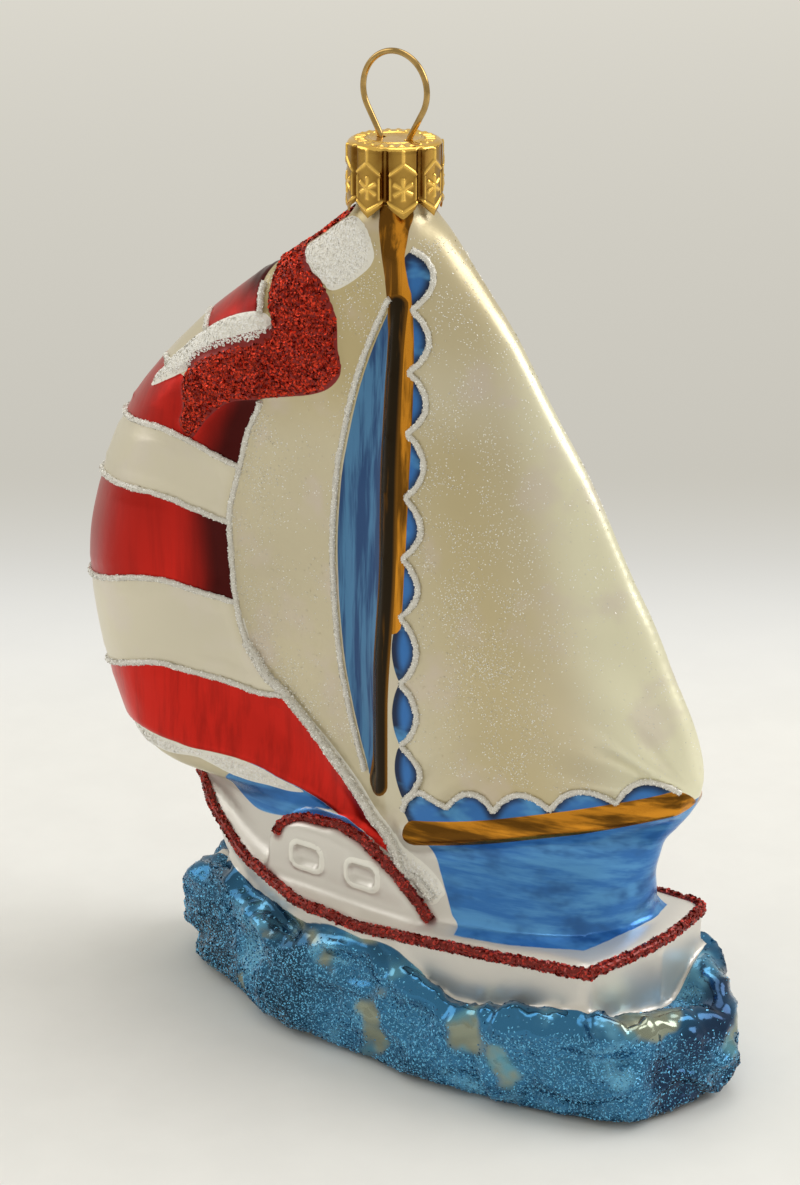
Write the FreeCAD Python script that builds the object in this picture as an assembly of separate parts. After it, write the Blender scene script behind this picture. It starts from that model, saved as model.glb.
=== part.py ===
import FreeCAD, Part
import math
import os

from FreeCAD import Vector

# A sailing boat blown in glass as a hanging tree ornament, in millimetres. X points aft, Y to
# starboard and Z up. The origin is on the neck's axis, at the level that the wave base stands on.
# It has three pieces: one hollow glass body, a stamped metal cap and a spring wire hanger.

# Glass
WALL = 0.9
SHOULDER_HEIGHT = 129.0
NECK_RADIUS = 5.6
NECK_LENGTH = 10.65
NECK_TOP = SHOULDER_HEIGHT + NECK_LENGTH

# Wave base
WAVE_BOW = -39.6
WAVE_STERN = 58.4
WAVE_BOW_ROUNDNESS = 1.85
WAVE_STERN_ROUNDNESS = 2.9
WAVE_HALF_WIDTH = 22.0
WAVE_BELLY_HEIGHT = 5.5
WAVE_FOOT_INSET = 2.6
WAVE_CREST_INSET = 2.8
WAVE_INNER_SHARE = 0.55
WAVE_LUMP = 0.7
WAVE_LUMPS_ROUND = 9
WAVE_CREST = [(-42.0, 14.0), (-34.0, 18.5), (-27.0, 21.5), (-19.0, 19.0), (-11.0, 17.0),
              (-6.0, 17.6), (0.0, 20.8), (8.0, 21.0), (13.0, 19.0), (19.0, 16.0), (25.0, 14.8),
              (32.0, 15.6), (40.0, 16.6), (47.0, 17.6), (53.0, 17.4), (59.0, 14.5)]

# Hull: half-beam and sheer height at stations along X, with the stem and the transom
HULL_BOW = -39.0
HULL_STERN = 46.2
HULL_HALF_BEAM = [(HULL_BOW, 0.9), (-31.0, 7.8), (-20.0, 13.6), (-6.0, 18.2), (6.0, 18.8),
                  (19.0, 17.6), (31.0, 16.2), (HULL_STERN, 14.5)]
SHEER_HEIGHT = [(HULL_BOW, 33.4), (-31.0, 28.8), (-20.0, 24.8), (-6.0, 22.6), (6.0, 22.2),
                (19.0, 22.6), (31.0, 23.1), (HULL_STERN, 24.0)]
TRANSOM_BOW_OUT = 2.1
TRANSOM_SKEW = 1.8
WATERLINE_HEIGHT = 12.0
WATERLINE_FORE = -28.5
WATERLINE_BEAM_SHARE = 0.92
STEM_WALL_SHARE = 3.6
DECK_SHELF = 2.6
DECK_CROWN = 0.9

# Cabin on the deck, seen from the side, and its portholes
CABIN_HALF_WIDTH = 14.6
CABIN_ROOF = [(-14.6, 30.0), (-10.5, 33.4), (-2.0, 33.8), (6.0, 31.8), (12.0, 28.2), (16.5, 22.0)]
CABIN_EDGE_RADIUS = 1.2
PORTHOLE_CENTRES = [(-6.6, 28.4), (4.0, 28.0)]
PORTHOLE_LENGTH = 5.6
PORTHOLE_HEIGHT = 3.8
PORTHOLE_CORNER = 1.4
PORTHOLE_DEPTH = 0.5

# Sails and the solid sea below them: fore and aft edges at heights, and the sails' lower line
FORE_EDGE = [(18.0, -17.0), (23.0, -24.0), (27.0, -30.0), (31.0, -34.5), (35.0, -42.0),
             (38.5, -47.5), (43.0, -51.6), (50.0, -55.2), (66.0, -58.0), (78.0, -56.0),
             (91.0, -50.5), (103.0, -41.0), (114.0, -27.5), (121.5, -16.5), (126.5, -10.0),
             (129.0, -6.3)]
AFT_EDGE = [(18.0, 43.0), (25.0, 44.0), (33.0, 44.4), (39.0, 46.6), (44.0, 50.5),
            (50.0, 51.6), (57.0, 49.0), (67.0, 44.6), (79.0, 39.6), (92.0, 32.8),
            (103.0, 26.2), (114.0, 19.2), (122.5, 12.6), (126.5, 9.2), (129.0, 6.1)]
FOOT_LINE = [(-60.0, 35.0), (-33.0, 36.0), (-18.0, 35.0), (-7.0, 33.0), (2.0, 31.0),
             (8.0, 31.5), (14.0, 34.0), (22.9, 36.6), (34.5, 39.6), (51.0, 44.6)]
FOOT_STEP = 7.0
LEECH_SWING = 5.8
LEECH_SWING_REACH = 50.0
SPINNAKER_FULLNESS = [(18.0, 10.0), (35.0, 20.0), (50.0, 22.0), (80.0, 21.0), (100.0, 15.5),
                      (114.0, 9.5), (129.0, 6.6)]
WAIST_FULLNESS = [(18.0, 13.0), (35.0, 9.0), (60.0, 8.6), (100.0, 7.8), (129.0, 6.6)]
MAINSAIL_FULLNESS = [(18.0, 13.0), (45.0, 10.8), (70.0, 10.2), (100.0, 8.0), (129.0, 6.6)]
LEECH_FULLNESS = [(18.0, 13.0), (45.0, 11.5), (70.0, 10.5), (100.0, 8.5), (129.0, 6.6)]
SEA_HALF_WIDTH = [(18.0, 14.2), (25.0, 13.6), (31.0, 10.6), (37.0, 8.6), (50.0, 8.0)]
SAIL_SECTIONS = [18.0, 21.0, 24.0, 27.0, 30.0, 33.0, 36.0, 39.0, 42.0, 45.5, 50.0, 56.0, 64.0,
                 74.0, 85.0, 96.0, 106.0, 115.0, 122.0, 126.5]

# Spars in relief on both faces of the sails
MAST_X = 4.6
MAST_RADIUS = 2.6
MAST_RELIEF = 1.0
MAST_HEEL = 39.6
MAST_LENGTHS = 4
BOOM_RADIUS = 2.0
BOOM_RELIEF = 1.3
BOOM_LENGTHS = 3
BOOM_LINE = [(9.4, 34.8), (22.9, 38.2), (34.5, 41.2), (48.5, 45.4)]

# Raised piping, seen from the side: the spinnaker's aft seam, and the edges of its bands from
# the nose to the seam
PIPING_RADIUS = 0.9
SEAM_LINE = [(-19.4, 113.5), (-18.1, 104.0), (-21.2, 91.5), (-23.4, 79.0), (-21.8, 63.5),
             (-15.6, 53.6), (-4.8, 43.1), (3.6, 36.0)]
BAND_EDGES = [[(-41.8, 92.6), (-30.0, 92.0), (-22.0, 88.6)], [(-50.0, 82.3), (-35.0, 82.8), (-23.4, 79.6)],
              [(-54.0, 64.6), (-33.8, 68.8), (-22.6, 66.6)], [(-52.0, 49.6), (-33.0, 54.8), (-14.4, 52.2)]]
BAND_LENGTHS = 5

# Metal cap
CAP_SHEET = 0.35
CAP_GROOVE_DEPTH = 0.4
CAP_NECK_CLEARANCE = 0.65
CAP_RADIUS = NECK_RADIUS + CAP_NECK_CLEARANCE + CAP_SHEET + CAP_GROOVE_DEPTH
CAP_TOP = NECK_TOP + CAP_SHEET
CAP_SHOULDER_CLEARANCE = 0.4
CAP_SKIRT_TIP = SHOULDER_HEIGHT + CAP_SHOULDER_CLEARANCE
CAP_PANELS = 8
CAP_NOTCH_HEIGHT = 2.2
CAP_EDGE_RADIUS = 0.9
CAP_HOLE_CLEARANCE = 0.25

# Wire hanger
WIRE_RADIUS = 0.45
LOOP_RISE = 7.0
LOOP_CENTRE_HEIGHT = CAP_TOP + LOOP_RISE
LOOP_RADIUS = 5.6
LEG_SPACING = 4.8
LEG_NECK_CLEARANCE = 0.05
LEG_BEND_RADIUS = 2.0
LEG_BEND_RISE = 4.0
LEG_KNEE_DROP = 2.0
LEG_TIP_DROP = 9.5
LEG_TIP_SPREAD = 2.4

RING_POINTS = 44


def through(stations, at):
    """The smooth curve through (place, value) stations, read at one place."""
    if at <= stations[0][0]:
        return stations[0][1]
    if at >= stations[-1][0]:
        return stations[-1][1]
    places = [s[0] for s in stations]
    values = [s[1] for s in stations]
    slopes = []
    for k in range(len(places)):
        low, high = max(k - 1, 0), min(k + 1, len(places) - 1)
        slopes.append((values[high] - values[low]) / (places[high] - places[low]))
    k = max(i for i in range(len(places) - 1) if places[i] <= at)
    span = places[k + 1] - places[k]
    t = (at - places[k]) / span
    rise = t * t * (3.0 - 2.0 * t)
    leave = t * (1.0 - t) ** 2 * span * slopes[k]
    arrive = t * t * (t - 1.0) * span * slopes[k + 1]
    return values[k] + (values[k + 1] - values[k]) * rise + leave + arrive


def smooth_step(t):
    """0 below 0, 1 above 1, and a smooth rise between them."""
    t = min(1.0, max(0.0, t))
    return t * t * (3.0 - 2.0 * t)


def closed_curve(points):
    """A smooth closed wire through points."""
    curve = Part.BSplineCurve()
    curve.interpolate(Points=points, PeriodicFlag=True)
    return Part.Wire(curve.toShape())


def drawn_in(points, distance):
    """A closed ring of points moved inwards in plan by a distance."""
    moved = []
    for k, point in enumerate(points):
        along = points[(k + 1) % len(points)] - points[k - 1]
        inward = Vector(-along.y, along.x, 0)
        inward.normalize()
        moved.append(point + inward * distance)
    return moved


def lofted(rings, straight=False):
    """One solid through closed rings of points, with a flat first and last ring."""
    return Part.makeLoft([closed_curve(ring) for ring in rings], True, straight)


def wave_ring(share, inset, height_at, lump):
    """A ring round the wave base: its widest outline scaled down, then drawn in."""
    middle = (WAVE_BOW + WAVE_STERN) / 2.0
    reach = (WAVE_STERN - WAVE_BOW) / 2.0
    points = []
    for k in range(RING_POINTS):
        turn = 2.0 * math.pi * k / RING_POINTS
        bulge = share + lump * math.sin(WAVE_LUMPS_ROUND * turn + 0.8) / WAVE_HALF_WIDTH
        fore, side = math.cos(turn), math.sin(turn)
        power = 2.0 / (WAVE_STERN_ROUNDNESS if fore > 0.0 else WAVE_BOW_ROUNDNESS)
        x = middle + reach * bulge * math.copysign(abs(fore) ** power, fore)
        y = WAVE_HALF_WIDTH * bulge * math.copysign(abs(side) ** power, side)
        points.append(Vector(x, y, height_at(x)))
    return drawn_in(points, inset)


def waves(wall):
    """The rocky wave base: a flat foot, a swelling side and an uneven crest round the hull."""
    def crest(x):
        return through(WAVE_CREST, x) - wall

    def shoulder(x):
        return WAVE_BELLY_HEIGHT + 0.7 * (crest(x) - WAVE_BELLY_HEIGHT)

    def level(height):
        return lambda x: height

    return lofted([
        wave_ring(1.0, WAVE_FOOT_INSET + wall, level(wall), 0.0),
        wave_ring(1.0, WAVE_FOOT_INSET * 0.3 + wall, level(WAVE_BELLY_HEIGHT * 0.3), WAVE_LUMP * 0.5),
        wave_ring(1.0, wall, level(WAVE_BELLY_HEIGHT), WAVE_LUMP),
        wave_ring(1.0, WAVE_CREST_INSET * 0.35 + wall, shoulder, WAVE_LUMP),
        wave_ring(1.0, WAVE_CREST_INSET + wall, crest, WAVE_LUMP),
        wave_ring(WAVE_INNER_SHARE, 0.0, level(WAVE_BELLY_HEIGHT * 1.6), 0.0),
    ], True)


def hull_ring(fore_end, aft_end, beam_share, wall, height_at):
    """A ring round the hull in plan: a bowed transom, two sides and the stem."""
    stern = HULL_STERN + TRANSOM_BOW_OUT
    half = []
    for k in range(4):
        share = k * 0.28
        bowed = TRANSOM_BOW_OUT * (1.0 - share * share)
        half.append((HULL_STERN + bowed, share * HULL_HALF_BEAM[-1][1]))
    steps = (RING_POINTS - 8) // 2
    for k in range(steps):
        share = 0.5 - 0.5 * math.cos(math.pi * (k + 0.6) / steps)
        x = HULL_STERN + (HULL_BOW - HULL_STERN) * share
        half.append((x, through(HULL_HALF_BEAM, x)))
    half.append((HULL_BOW - 0.8, 0.0))
    half += [(x, -y) for x, y in reversed(half[1:-1])]
    aft_end, fore_end = aft_end - wall, fore_end + wall * STEM_WALL_SHARE
    points = []
    for x, y in half:
        moved = aft_end + (x - stern) * (aft_end - fore_end) / (stern - HULL_BOW)
        drawn = beam_share * y * max(0.3, 1.0 - wall / max(abs(y) * beam_share, 0.01))
        skew = TRANSOM_SKEW * y / HULL_HALF_BEAM[-1][1] * smooth_step(x / HULL_STERN)
        points.append(Vector(moved + skew, drawn, height_at(x)))
    return points


def hull(wall):
    """The hull from its keel up to the sheer, and the deck's shelf inside the sheer."""
    def sheer(x):
        return through(SHEER_HEIGHT, x) - wall

    def deck(x):
        return sheer(x) + DECK_CROWN

    def level(height):
        return lambda x: height

    def bilge(x):
        return WATERLINE_HEIGHT + 0.5 * (sheer(x) - WATERLINE_HEIGHT)

    stern = HULL_STERN + TRANSOM_BOW_OUT
    keel_fore = 2.0 * WATERLINE_FORE - HULL_BOW
    bilge_fore = (WATERLINE_FORE * 0.35 + HULL_BOW * 0.65)
    shelf_beam = 1.0 - DECK_SHELF / HULL_HALF_BEAM[4][1]
    return lofted([
        hull_ring(keel_fore, stern - 1.0, 2.0 * WATERLINE_BEAM_SHARE - 1.0, wall,
                  level(WATERLINE_HEIGHT * 0.45)),
        hull_ring(WATERLINE_FORE, stern - 0.4, WATERLINE_BEAM_SHARE, wall, level(WATERLINE_HEIGHT)),
        hull_ring(bilge_fore, stern - 0.1, 0.5 + 0.5 * WATERLINE_BEAM_SHARE + 0.015, wall, bilge),
        hull_ring(HULL_BOW, stern, 1.0, wall, sheer),
        hull_ring(HULL_BOW + 2.0 * DECK_SHELF, stern - DECK_SHELF, shelf_beam, wall, deck),
        hull_ring(FORE_EDGE[0][1], AFT_EDGE[0][1] - 6.0, 0.45, wall, level(SHEER_HEIGHT[-1][1] - wall)),
    ], True)


def camber(x):
    """How far the sails' middle surface lies to starboard: the boom is let out that way."""
    return LEECH_SWING * (max(0.0, x) / LEECH_SWING_REACH) ** 1.5


def sail_fullness(x, height):
    """Half the thickness of the glass sails, before their lower line is cut in."""
    fore, aft = through(FORE_EDGE, height), through(AFT_EDGE, height)
    place = (2.0 * x - fore - aft) / (aft - fore)
    across = [(-1.0, through(SPINNAKER_FULLNESS, height)), (-0.72, through(SPINNAKER_FULLNESS, height)),
              (-0.2, through(WAIST_FULLNESS, height)), (0.3, through(MAINSAIL_FULLNESS, height)),
              (1.0, through(LEECH_FULLNESS, height))]
    return math.sqrt(max(0.0, 1.0 - place * place)) * through(across, place)


def sea_fullness(x, height):
    """Half the thickness of the block that joins the sails to the deck."""
    fore, aft = through(FORE_EDGE, height), through(AFT_EDGE, height)
    place = (2.0 * x - fore - aft) / (aft - fore)
    return math.sqrt(max(0.0, 1.0 - abs(place) ** 3.5)) * through(SEA_HALF_WIDTH, height)


def half_thickness(x, height):
    """Half the thickness of the body at a place in side view, above or below the sails' foot."""
    sail_share = smooth_step(0.5 + (height - through(FOOT_LINE, x)) / FOOT_STEP)
    return sea_fullness(x, height) * (1.0 - sail_share) + sail_fullness(x, height) * sail_share


def surface_point(x, height, side):
    """A point on the sails' outer surface: side is -1 for port and 1 for starboard."""
    return Vector(x, camber(x) + side * half_thickness(x, height), height)


def sail_ring(height, inset):
    """The body's outline in plan at one height."""
    fore, aft = through(FORE_EDGE, height), through(AFT_EDGE, height)
    points = []
    for k in range(RING_POINTS):
        turn = 2.0 * math.pi * k / RING_POINTS
        x = (fore + aft) / 2.0 + (aft - fore) / 2.0 * math.cos(turn)
        points.append(surface_point(x, height, math.copysign(1.0, math.sin(turn))))
    return drawn_in(points, inset)


def sails(wall):
    """Spinnaker, jib and mainsail as one blown form, with the sea block under them."""
    top = SHOULDER_HEIGHT - wall
    heights = [height for height in SAIL_SECTIONS if height < top - WALL] + [top]
    return lofted([sail_ring(height, wall) for height in heights])


def neck():
    """The neck under the cap."""
    start = SHOULDER_HEIGHT - NECK_RADIUS
    return Part.makeCylinder(NECK_RADIUS, NECK_TOP - start, Vector(0, 0, start))


def cabin():
    """The cabin: its side view as a curve, run across the deck, with rounded roof edges."""
    roof = [Vector(x, -CABIN_HALF_WIDTH, z) for x, z in CABIN_ROOF]
    curve = Part.BSplineCurve()
    curve.interpolate(Points=roof)
    heel = Vector(CABIN_ROOF[0][0], -CABIN_HALF_WIDTH, CABIN_ROOF[-1][1])
    edges = [curve.toShape(), Part.makeLine(roof[-1], heel), Part.makeLine(heel, roof[0])]
    solid = Part.Face(Part.Wire(edges)).extrude(Vector(0, 2.0 * CABIN_HALF_WIDTH, 0))
    roof_edges = [e for e in solid.Edges if e.BoundBox.YLength < 0.01
                  and e.BoundBox.XLength > 25.0 and e.BoundBox.ZLength > 5.0]
    solid = solid.makeFillet(CABIN_EDGE_RADIUS, roof_edges)
    return solid.cut([porthole(centre, side) for centre in PORTHOLE_CENTRES for side in (-1, 1)])


def rib(points, radius):
    """A round rib through points, with round joints and ends."""
    pieces = [Part.makeSphere(radius, point) for point in points]
    for start, end in zip(points[:-1], points[1:]):
        along = end - start
        pieces.append(Part.makeCylinder(radius, along.Length, start, along))
    return pieces[0].fuse(pieces[1:])


def mast(side):
    """The mast in relief on one face, from its heel up to the shoulder."""
    top = SHOULDER_HEIGHT - 2.0 * MAST_RADIUS
    heights = [MAST_HEEL + (top - MAST_HEEL) * k / MAST_LENGTHS for k in range(MAST_LENGTHS + 1)]
    sunk = Vector(0, side * (MAST_RADIUS - MAST_RELIEF), 0)
    return rib([surface_point(MAST_X, height, side) - sunk for height in heights], MAST_RADIUS)


def boom(side):
    """The boom in relief on one face, along the mainsail's foot."""
    points = []
    fore, aft = BOOM_LINE[0][0], BOOM_LINE[-1][0]
    sunk = Vector(0, side * (BOOM_RADIUS - BOOM_RELIEF), 0)
    for k in range(BOOM_LENGTHS + 1):
        x = fore + (aft - fore) * k / BOOM_LENGTHS
        points.append(surface_point(x, through(BOOM_LINE, x), side) - sunk)
    return rib(points, BOOM_RADIUS)


def seam(side):
    """The raised seam on one face, where the spinnaker lies over the jib."""
    return rib([surface_point(x, height, side) for x, height in SEAM_LINE], PIPING_RADIUS)


def band_edge(line):
    """A band's raised edge, from the starboard face round the spinnaker's nose to the port face."""
    nose = through(FORE_EDGE, line[0][1])
    points = []
    for k in range(-BAND_LENGTHS, BAND_LENGTHS + 1):
        turn = math.pi / 2.0 * k / BAND_LENGTHS
        x = nose + (line[-1][0] - nose) * (1.0 - math.cos(turn))
        points.append(surface_point(x, through(line, x), -math.copysign(1.0, k)))
    return rib(points, PIPING_RADIUS)


def porthole(centre, side):
    """A rounded recess in one side of the cabin."""
    x, z = centre
    box = Part.makeBox(PORTHOLE_LENGTH, 2.0 * PORTHOLE_DEPTH, PORTHOLE_HEIGHT,
                       Vector(x - PORTHOLE_LENGTH / 2.0, side * CABIN_HALF_WIDTH - PORTHOLE_DEPTH,
                              z - PORTHOLE_HEIGHT / 2.0))
    corners = [e for e in box.Edges if e.BoundBox.YLength > PORTHOLE_DEPTH]
    return box.makeFillet(PORTHOLE_CORNER, corners)


def glass_body():
    """The blown glass: one closed skin outside, one skin inside, and a bore through the neck."""
    outer = sails(0.0).fuse([hull(0.0), waves(0.0), neck(), cabin()])
    outer = outer.fuse([mast(-1), mast(1), boom(-1), boom(1)])
    outer = outer.fuse([seam(-1), seam(1)] + [band_edge(line) for line in BAND_EDGES])
    cavity = sails(WALL).fuse([hull(WALL), waves(WALL)])
    inside = cavity.Solids[0].Shells[0].reversed()
    blown = Part.Solid(Part.Compound([outer.Solids[0].Shells[0], inside]))
    start = SHOULDER_HEIGHT - 2.0 * NECK_RADIUS
    bore = Part.makeCylinder(NECK_RADIUS - WALL, NECK_TOP + 1.0 - start, Vector(0, 0, start))
    return blown.cut(bore)


def cap_ring(radius, height):
    """The cap's fluted outline: flat panels parted by narrow grooves."""
    points = []
    for panel in range(CAP_PANELS):
        for share, depth in ((-0.36, 0.0), (0.0, 0.0), (0.36, 0.0), (0.5, CAP_GROOVE_DEPTH)):
            turn = 2.0 * math.pi * (panel + share) / CAP_PANELS
            reach = radius - depth
            points.append(Vector(reach * math.cos(turn), reach * math.sin(turn), height))
    return closed_curve(points)


def fluted(radius, low, high):
    """A fluted plug between two heights."""
    return Part.Face(cap_ring(radius, low)).extrude(Vector(0, 0, high - low))


def cap():
    """The stamped cap: a fluted cup with pointed panels and two holes for the wire."""
    bowl = Part.makeCylinder(CAP_RADIUS, CAP_TOP - CAP_SKIRT_TIP, Vector(0, 0, CAP_SKIRT_TIP))
    rim = [e for e in bowl.Edges if e.BoundBox.ZMin > CAP_TOP - 0.01]
    outer = fluted(CAP_RADIUS, CAP_SKIRT_TIP, CAP_TOP).common(bowl.makeFillet(CAP_EDGE_RADIUS, rim))
    inner = fluted(CAP_RADIUS - CAP_SHEET, CAP_SKIRT_TIP - 1.0, CAP_TOP - CAP_SHEET)
    shell = outer.cut(inner)
    half = math.pi * CAP_RADIUS / CAP_PANELS
    notch_face = Part.Face(Part.makePolygon([
        Vector(0, -half, CAP_SKIRT_TIP), Vector(0, half, CAP_SKIRT_TIP),
        Vector(0, 0, CAP_SKIRT_TIP + CAP_NOTCH_HEIGHT), Vector(0, -half, CAP_SKIRT_TIP)]))
    cuts = []
    for panel in range(CAP_PANELS):
        notch = notch_face.extrude(Vector(CAP_RADIUS * 1.5, 0, 0))
        notch.rotate(Vector(0, 0, 0), Vector(0, 0, 1), 360.0 * (panel + 0.5) / CAP_PANELS)
        cuts.append(notch)
    for side in (-1, 1):
        cuts.append(Part.makeCylinder(WIRE_RADIUS + CAP_HOLE_CLEARANCE, 3.0,
                                      Vector(side * LEG_SPACING / 2.0, 0, CAP_TOP - 2.0)))
    return shell.cut(cuts)


def hanger():
    """The spring wire: a round loop above the cap and two legs that press in the neck."""
    centre = Vector(0, 0, LOOP_CENTRE_HEIGHT)
    gate = Vector(LEG_SPACING / 2.0, 0, CAP_TOP)
    away = gate - centre
    reach = away.Length
    lean = math.acos(LOOP_RADIUS / reach)
    heading = math.atan2(away.z, away.x) + lean
    tangent = centre + Vector(LOOP_RADIUS * math.cos(heading), 0, LOOP_RADIUS * math.sin(heading))
    mirrored = Vector(-tangent.x, 0, tangent.z)
    top = centre + Vector(0, 0, LOOP_RADIUS)
    press = NECK_RADIUS - WALL - LEG_NECK_CLEARANCE - WIRE_RADIUS
    tip = Vector(press + WIRE_RADIUS + LEG_TIP_SPREAD, 0, SHOULDER_HEIGHT - LEG_TIP_DROP)
    leg = [tangent, gate, Vector(press, 0, SHOULDER_HEIGHT + LEG_BEND_RISE),
           Vector(press, 0, SHOULDER_HEIGHT - LEG_KNEE_DROP), tip]
    right = rounded(leg, LEG_BEND_RADIUS)
    left = [e.mirror(Vector(0, 0, 0), Vector(1, 0, 0)) for e in right]
    loop = Part.Arc(tangent, top, mirrored).toShape()
    wire = Part.Wire(Part.__sortEdges__([loop] + right + left))
    profile = Part.Wire(Part.makeCircle(WIRE_RADIUS, tip, leg[-2] - tip))
    return wire.makePipeShell([profile], True, True)


def rounded(points, radius):
    """Straight edges through points, with an arc of one radius at each inner point."""
    edges = []
    start = points[0]
    for k in range(1, len(points) - 1):
        before = (points[k - 1] - points[k]).normalize()
        after = (points[k + 1] - points[k]).normalize()
        half_turn = (math.pi - before.getAngle(after)) / 2.0
        setback = radius * math.tan(half_turn)
        middle = (before + after).normalize()
        depth = radius / math.cos(half_turn) - radius
        enter, leave = points[k] + before * setback, points[k] + after * setback
        edges.append(Part.makeLine(start, enter))
        edges.append(Part.Arc(enter, points[k] + middle * depth, leave).toShape())
        start = leave
    edges.append(Part.makeLine(start, points[-1]))
    return edges


def main():
    os.makedirs("parts", exist_ok=True)
    pieces = {"glass_body": glass_body(), "cap": cap(), "hanger": hanger()}
    for name, shape in pieces.items():
        solids = shape.Solids
        print(name, "solids", len(solids), "valid", shape.isValid(), "volume", round(shape.Volume, 1))
        Part.Compound(solids).exportStep("parts/" + name + ".step")


main()
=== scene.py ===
import math

import bmesh
import bpy
import numpy as np
from bpy.props import FloatProperty, FloatVectorProperty, IntProperty, PointerProperty
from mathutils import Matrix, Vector, noise
from mathutils.bvhtree import BVHTree


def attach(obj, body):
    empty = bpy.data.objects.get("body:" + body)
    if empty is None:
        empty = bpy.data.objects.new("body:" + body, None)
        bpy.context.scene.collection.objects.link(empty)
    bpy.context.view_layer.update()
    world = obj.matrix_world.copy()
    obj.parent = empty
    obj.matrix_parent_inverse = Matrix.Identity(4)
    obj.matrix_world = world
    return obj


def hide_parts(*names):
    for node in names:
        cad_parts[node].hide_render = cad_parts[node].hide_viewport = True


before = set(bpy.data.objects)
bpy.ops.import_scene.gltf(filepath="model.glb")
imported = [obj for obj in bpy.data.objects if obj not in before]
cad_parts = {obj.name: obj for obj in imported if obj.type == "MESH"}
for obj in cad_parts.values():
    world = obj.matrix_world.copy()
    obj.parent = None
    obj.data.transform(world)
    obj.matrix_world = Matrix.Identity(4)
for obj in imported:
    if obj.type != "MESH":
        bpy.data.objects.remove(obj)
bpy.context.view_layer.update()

bl_info = {
    "name": "Blown Glass Sailboat",
    "version": (1, 0, 0),
    "blender": (4, 5, 0),
    "location": "View3D > Sidebar > Sailboat",
    "description": "Dresses a blown glass sailboat ornament with paint, glitter, cap and wire",
    "category": "Object",
}

MM = 0.001

# Places on the boat, in millimetres as seen from the side: X aft, Z up. Both faces share them.

HULL_STATIONS = [(-39.0, 0.9), (-31.0, 7.8), (-20.0, 13.6), (-6.0, 18.2), (6.0, 18.8),
                 (19.0, 17.6), (31.0, 16.2), (46.2, 14.5)]
SHEER = [(-39.0, 33.4), (-31.0, 28.8), (-20.0, 24.8), (-6.0, 22.6), (6.0, 22.2),
         (19.0, 22.6), (31.0, 23.1), (46.2, 24.0), (49.0, 24.0)]
CREST = [(-42.0, 14.0), (-34.0, 18.5), (-27.0, 21.5), (-19.0, 19.0), (-11.0, 17.0),
         (-6.0, 17.6), (0.0, 20.8), (8.0, 21.0), (13.0, 19.0), (19.0, 16.0), (25.0, 14.8),
         (32.0, 15.6), (40.0, 16.6), (47.0, 17.6), (53.0, 17.4), (59.0, 14.5)]

LUFF = [(-20.4, 116.5), (-18.9, 112.0), (-18.0, 106.0), (-18.6, 99.2), (-20.6, 94.2),
        (-21.9, 88.5), (-23.2, 82.7), (-23.5, 79.4), (-23.2, 72.9), (-22.5, 66.5),
        (-20.7, 60.2), (-17.7, 55.6), (-14.0, 52.0), (-9.6, 47.5), (-4.8, 43.1), (1.7, 37.6),
        (9.1, 30.9), (12.8, 28.4), (15.4, 26.8)]
FOOT = [(-50.0, 41.6), (-40.0, 42.6), (-33.1, 42.2), (-29.3, 41.7), (-25.2, 41.3), (-22.1, 40.8),
        (-18.3, 39.7), (-15.1, 38.2), (-11.8, 37.1), (-8.3, 35.9), (-5.4, 34.8), (-2.3, 33.8),
        (1.5, 33.2), (5.2, 32.1), (8.0, 30.9), (10.4, 29.4)]
FLANK = [(-30.0, 20.0), (-22.1, 13.5), (-18.3, 12.0), (-15.1, 11.0), (-11.8, 10.3), (-8.3, 9.7),
         (-5.4, 9.5), (-2.3, 9.8), (1.5, 10.8), (5.2, 12.0), (8.0, 12.0), (10.6, 11.5)]
BAND_EDGES = [
    [(-52.0, 91.2), (-41.8, 92.5), (-35.2, 93.0), (-29.8, 91.8), (-26.0, 90.2), (-21.9, 88.5)],
    [(-55.0, 81.0), (-47.0, 82.3), (-40.2, 82.8), (-33.7, 82.6), (-28.3, 81.0), (-23.5, 79.4)],
    [(-56.0, 64.0), (-49.3, 65.6), (-39.9, 68.2), (-33.8, 68.7), (-28.4, 67.6), (-22.5, 66.5)],
    [(-53.0, 49.0), (-47.4, 51.2), (-36.4, 54.7), (-29.6, 54.3), (-23.4, 53.4), (-18.8, 52.2),
     (-14.6, 52.2)],
    [(-39.5, 102.0), (-36.0, 102.0), (-31.0, 101.0), (-24.0, 100.0), (-18.6, 99.4)],
    [(-32.0, 110.2), (-29.4, 108.4), (-24.0, 107.4), (-18.2, 107.2)],
]
STRIP_EDGE = [(4.0, 118.2), (3.2, 117.1), (0.5, 111.5), (-2.0, 104.2), (-3.7, 97.0), (-5.1, 88.9),
              (-5.7, 77.7), (-4.9, 66.6), (-3.5, 57.0), (-1.7, 49.1), (0.4, 43.0)]
ROD_LINE = [(5.2, 117.4), (4.8, 110.0), (4.7, 95.5), (4.9, 80.0), (4.7, 70.0), (4.0, 56.0),
            (3.6, 42.2)]
MAST_TOP_LINE = [(3.0, 131.0), (4.0, 125.0), (5.0, 119.0)]
MAST_SIDE_LINE = [(5.3, 119.0), (6.0, 110.0), (6.2, 95.0), (6.2, 80.0), (6.0, 69.0)]
LACE_MAST = [(6.5, 125.4), (6.9, 116.7), (6.9, 107.5), (7.2, 98.4), (7.4, 88.7), (7.4, 79.4),
             (7.4, 70.2), (7.6, 59.6), (7.5, 49.3), (8.4, 40.4)]
LACE_BOOM = [(8.4, 38.8), (15.9, 40.7), (23.6, 41.6), (32.2, 43.4), (41.4, 45.6), (49.4, 47.8)]
BOOM_LINE = [(10.9, 35.8), (20.0, 37.7), (31.3, 40.8), (41.8, 43.8), (49.0, 46.1)]
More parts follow.
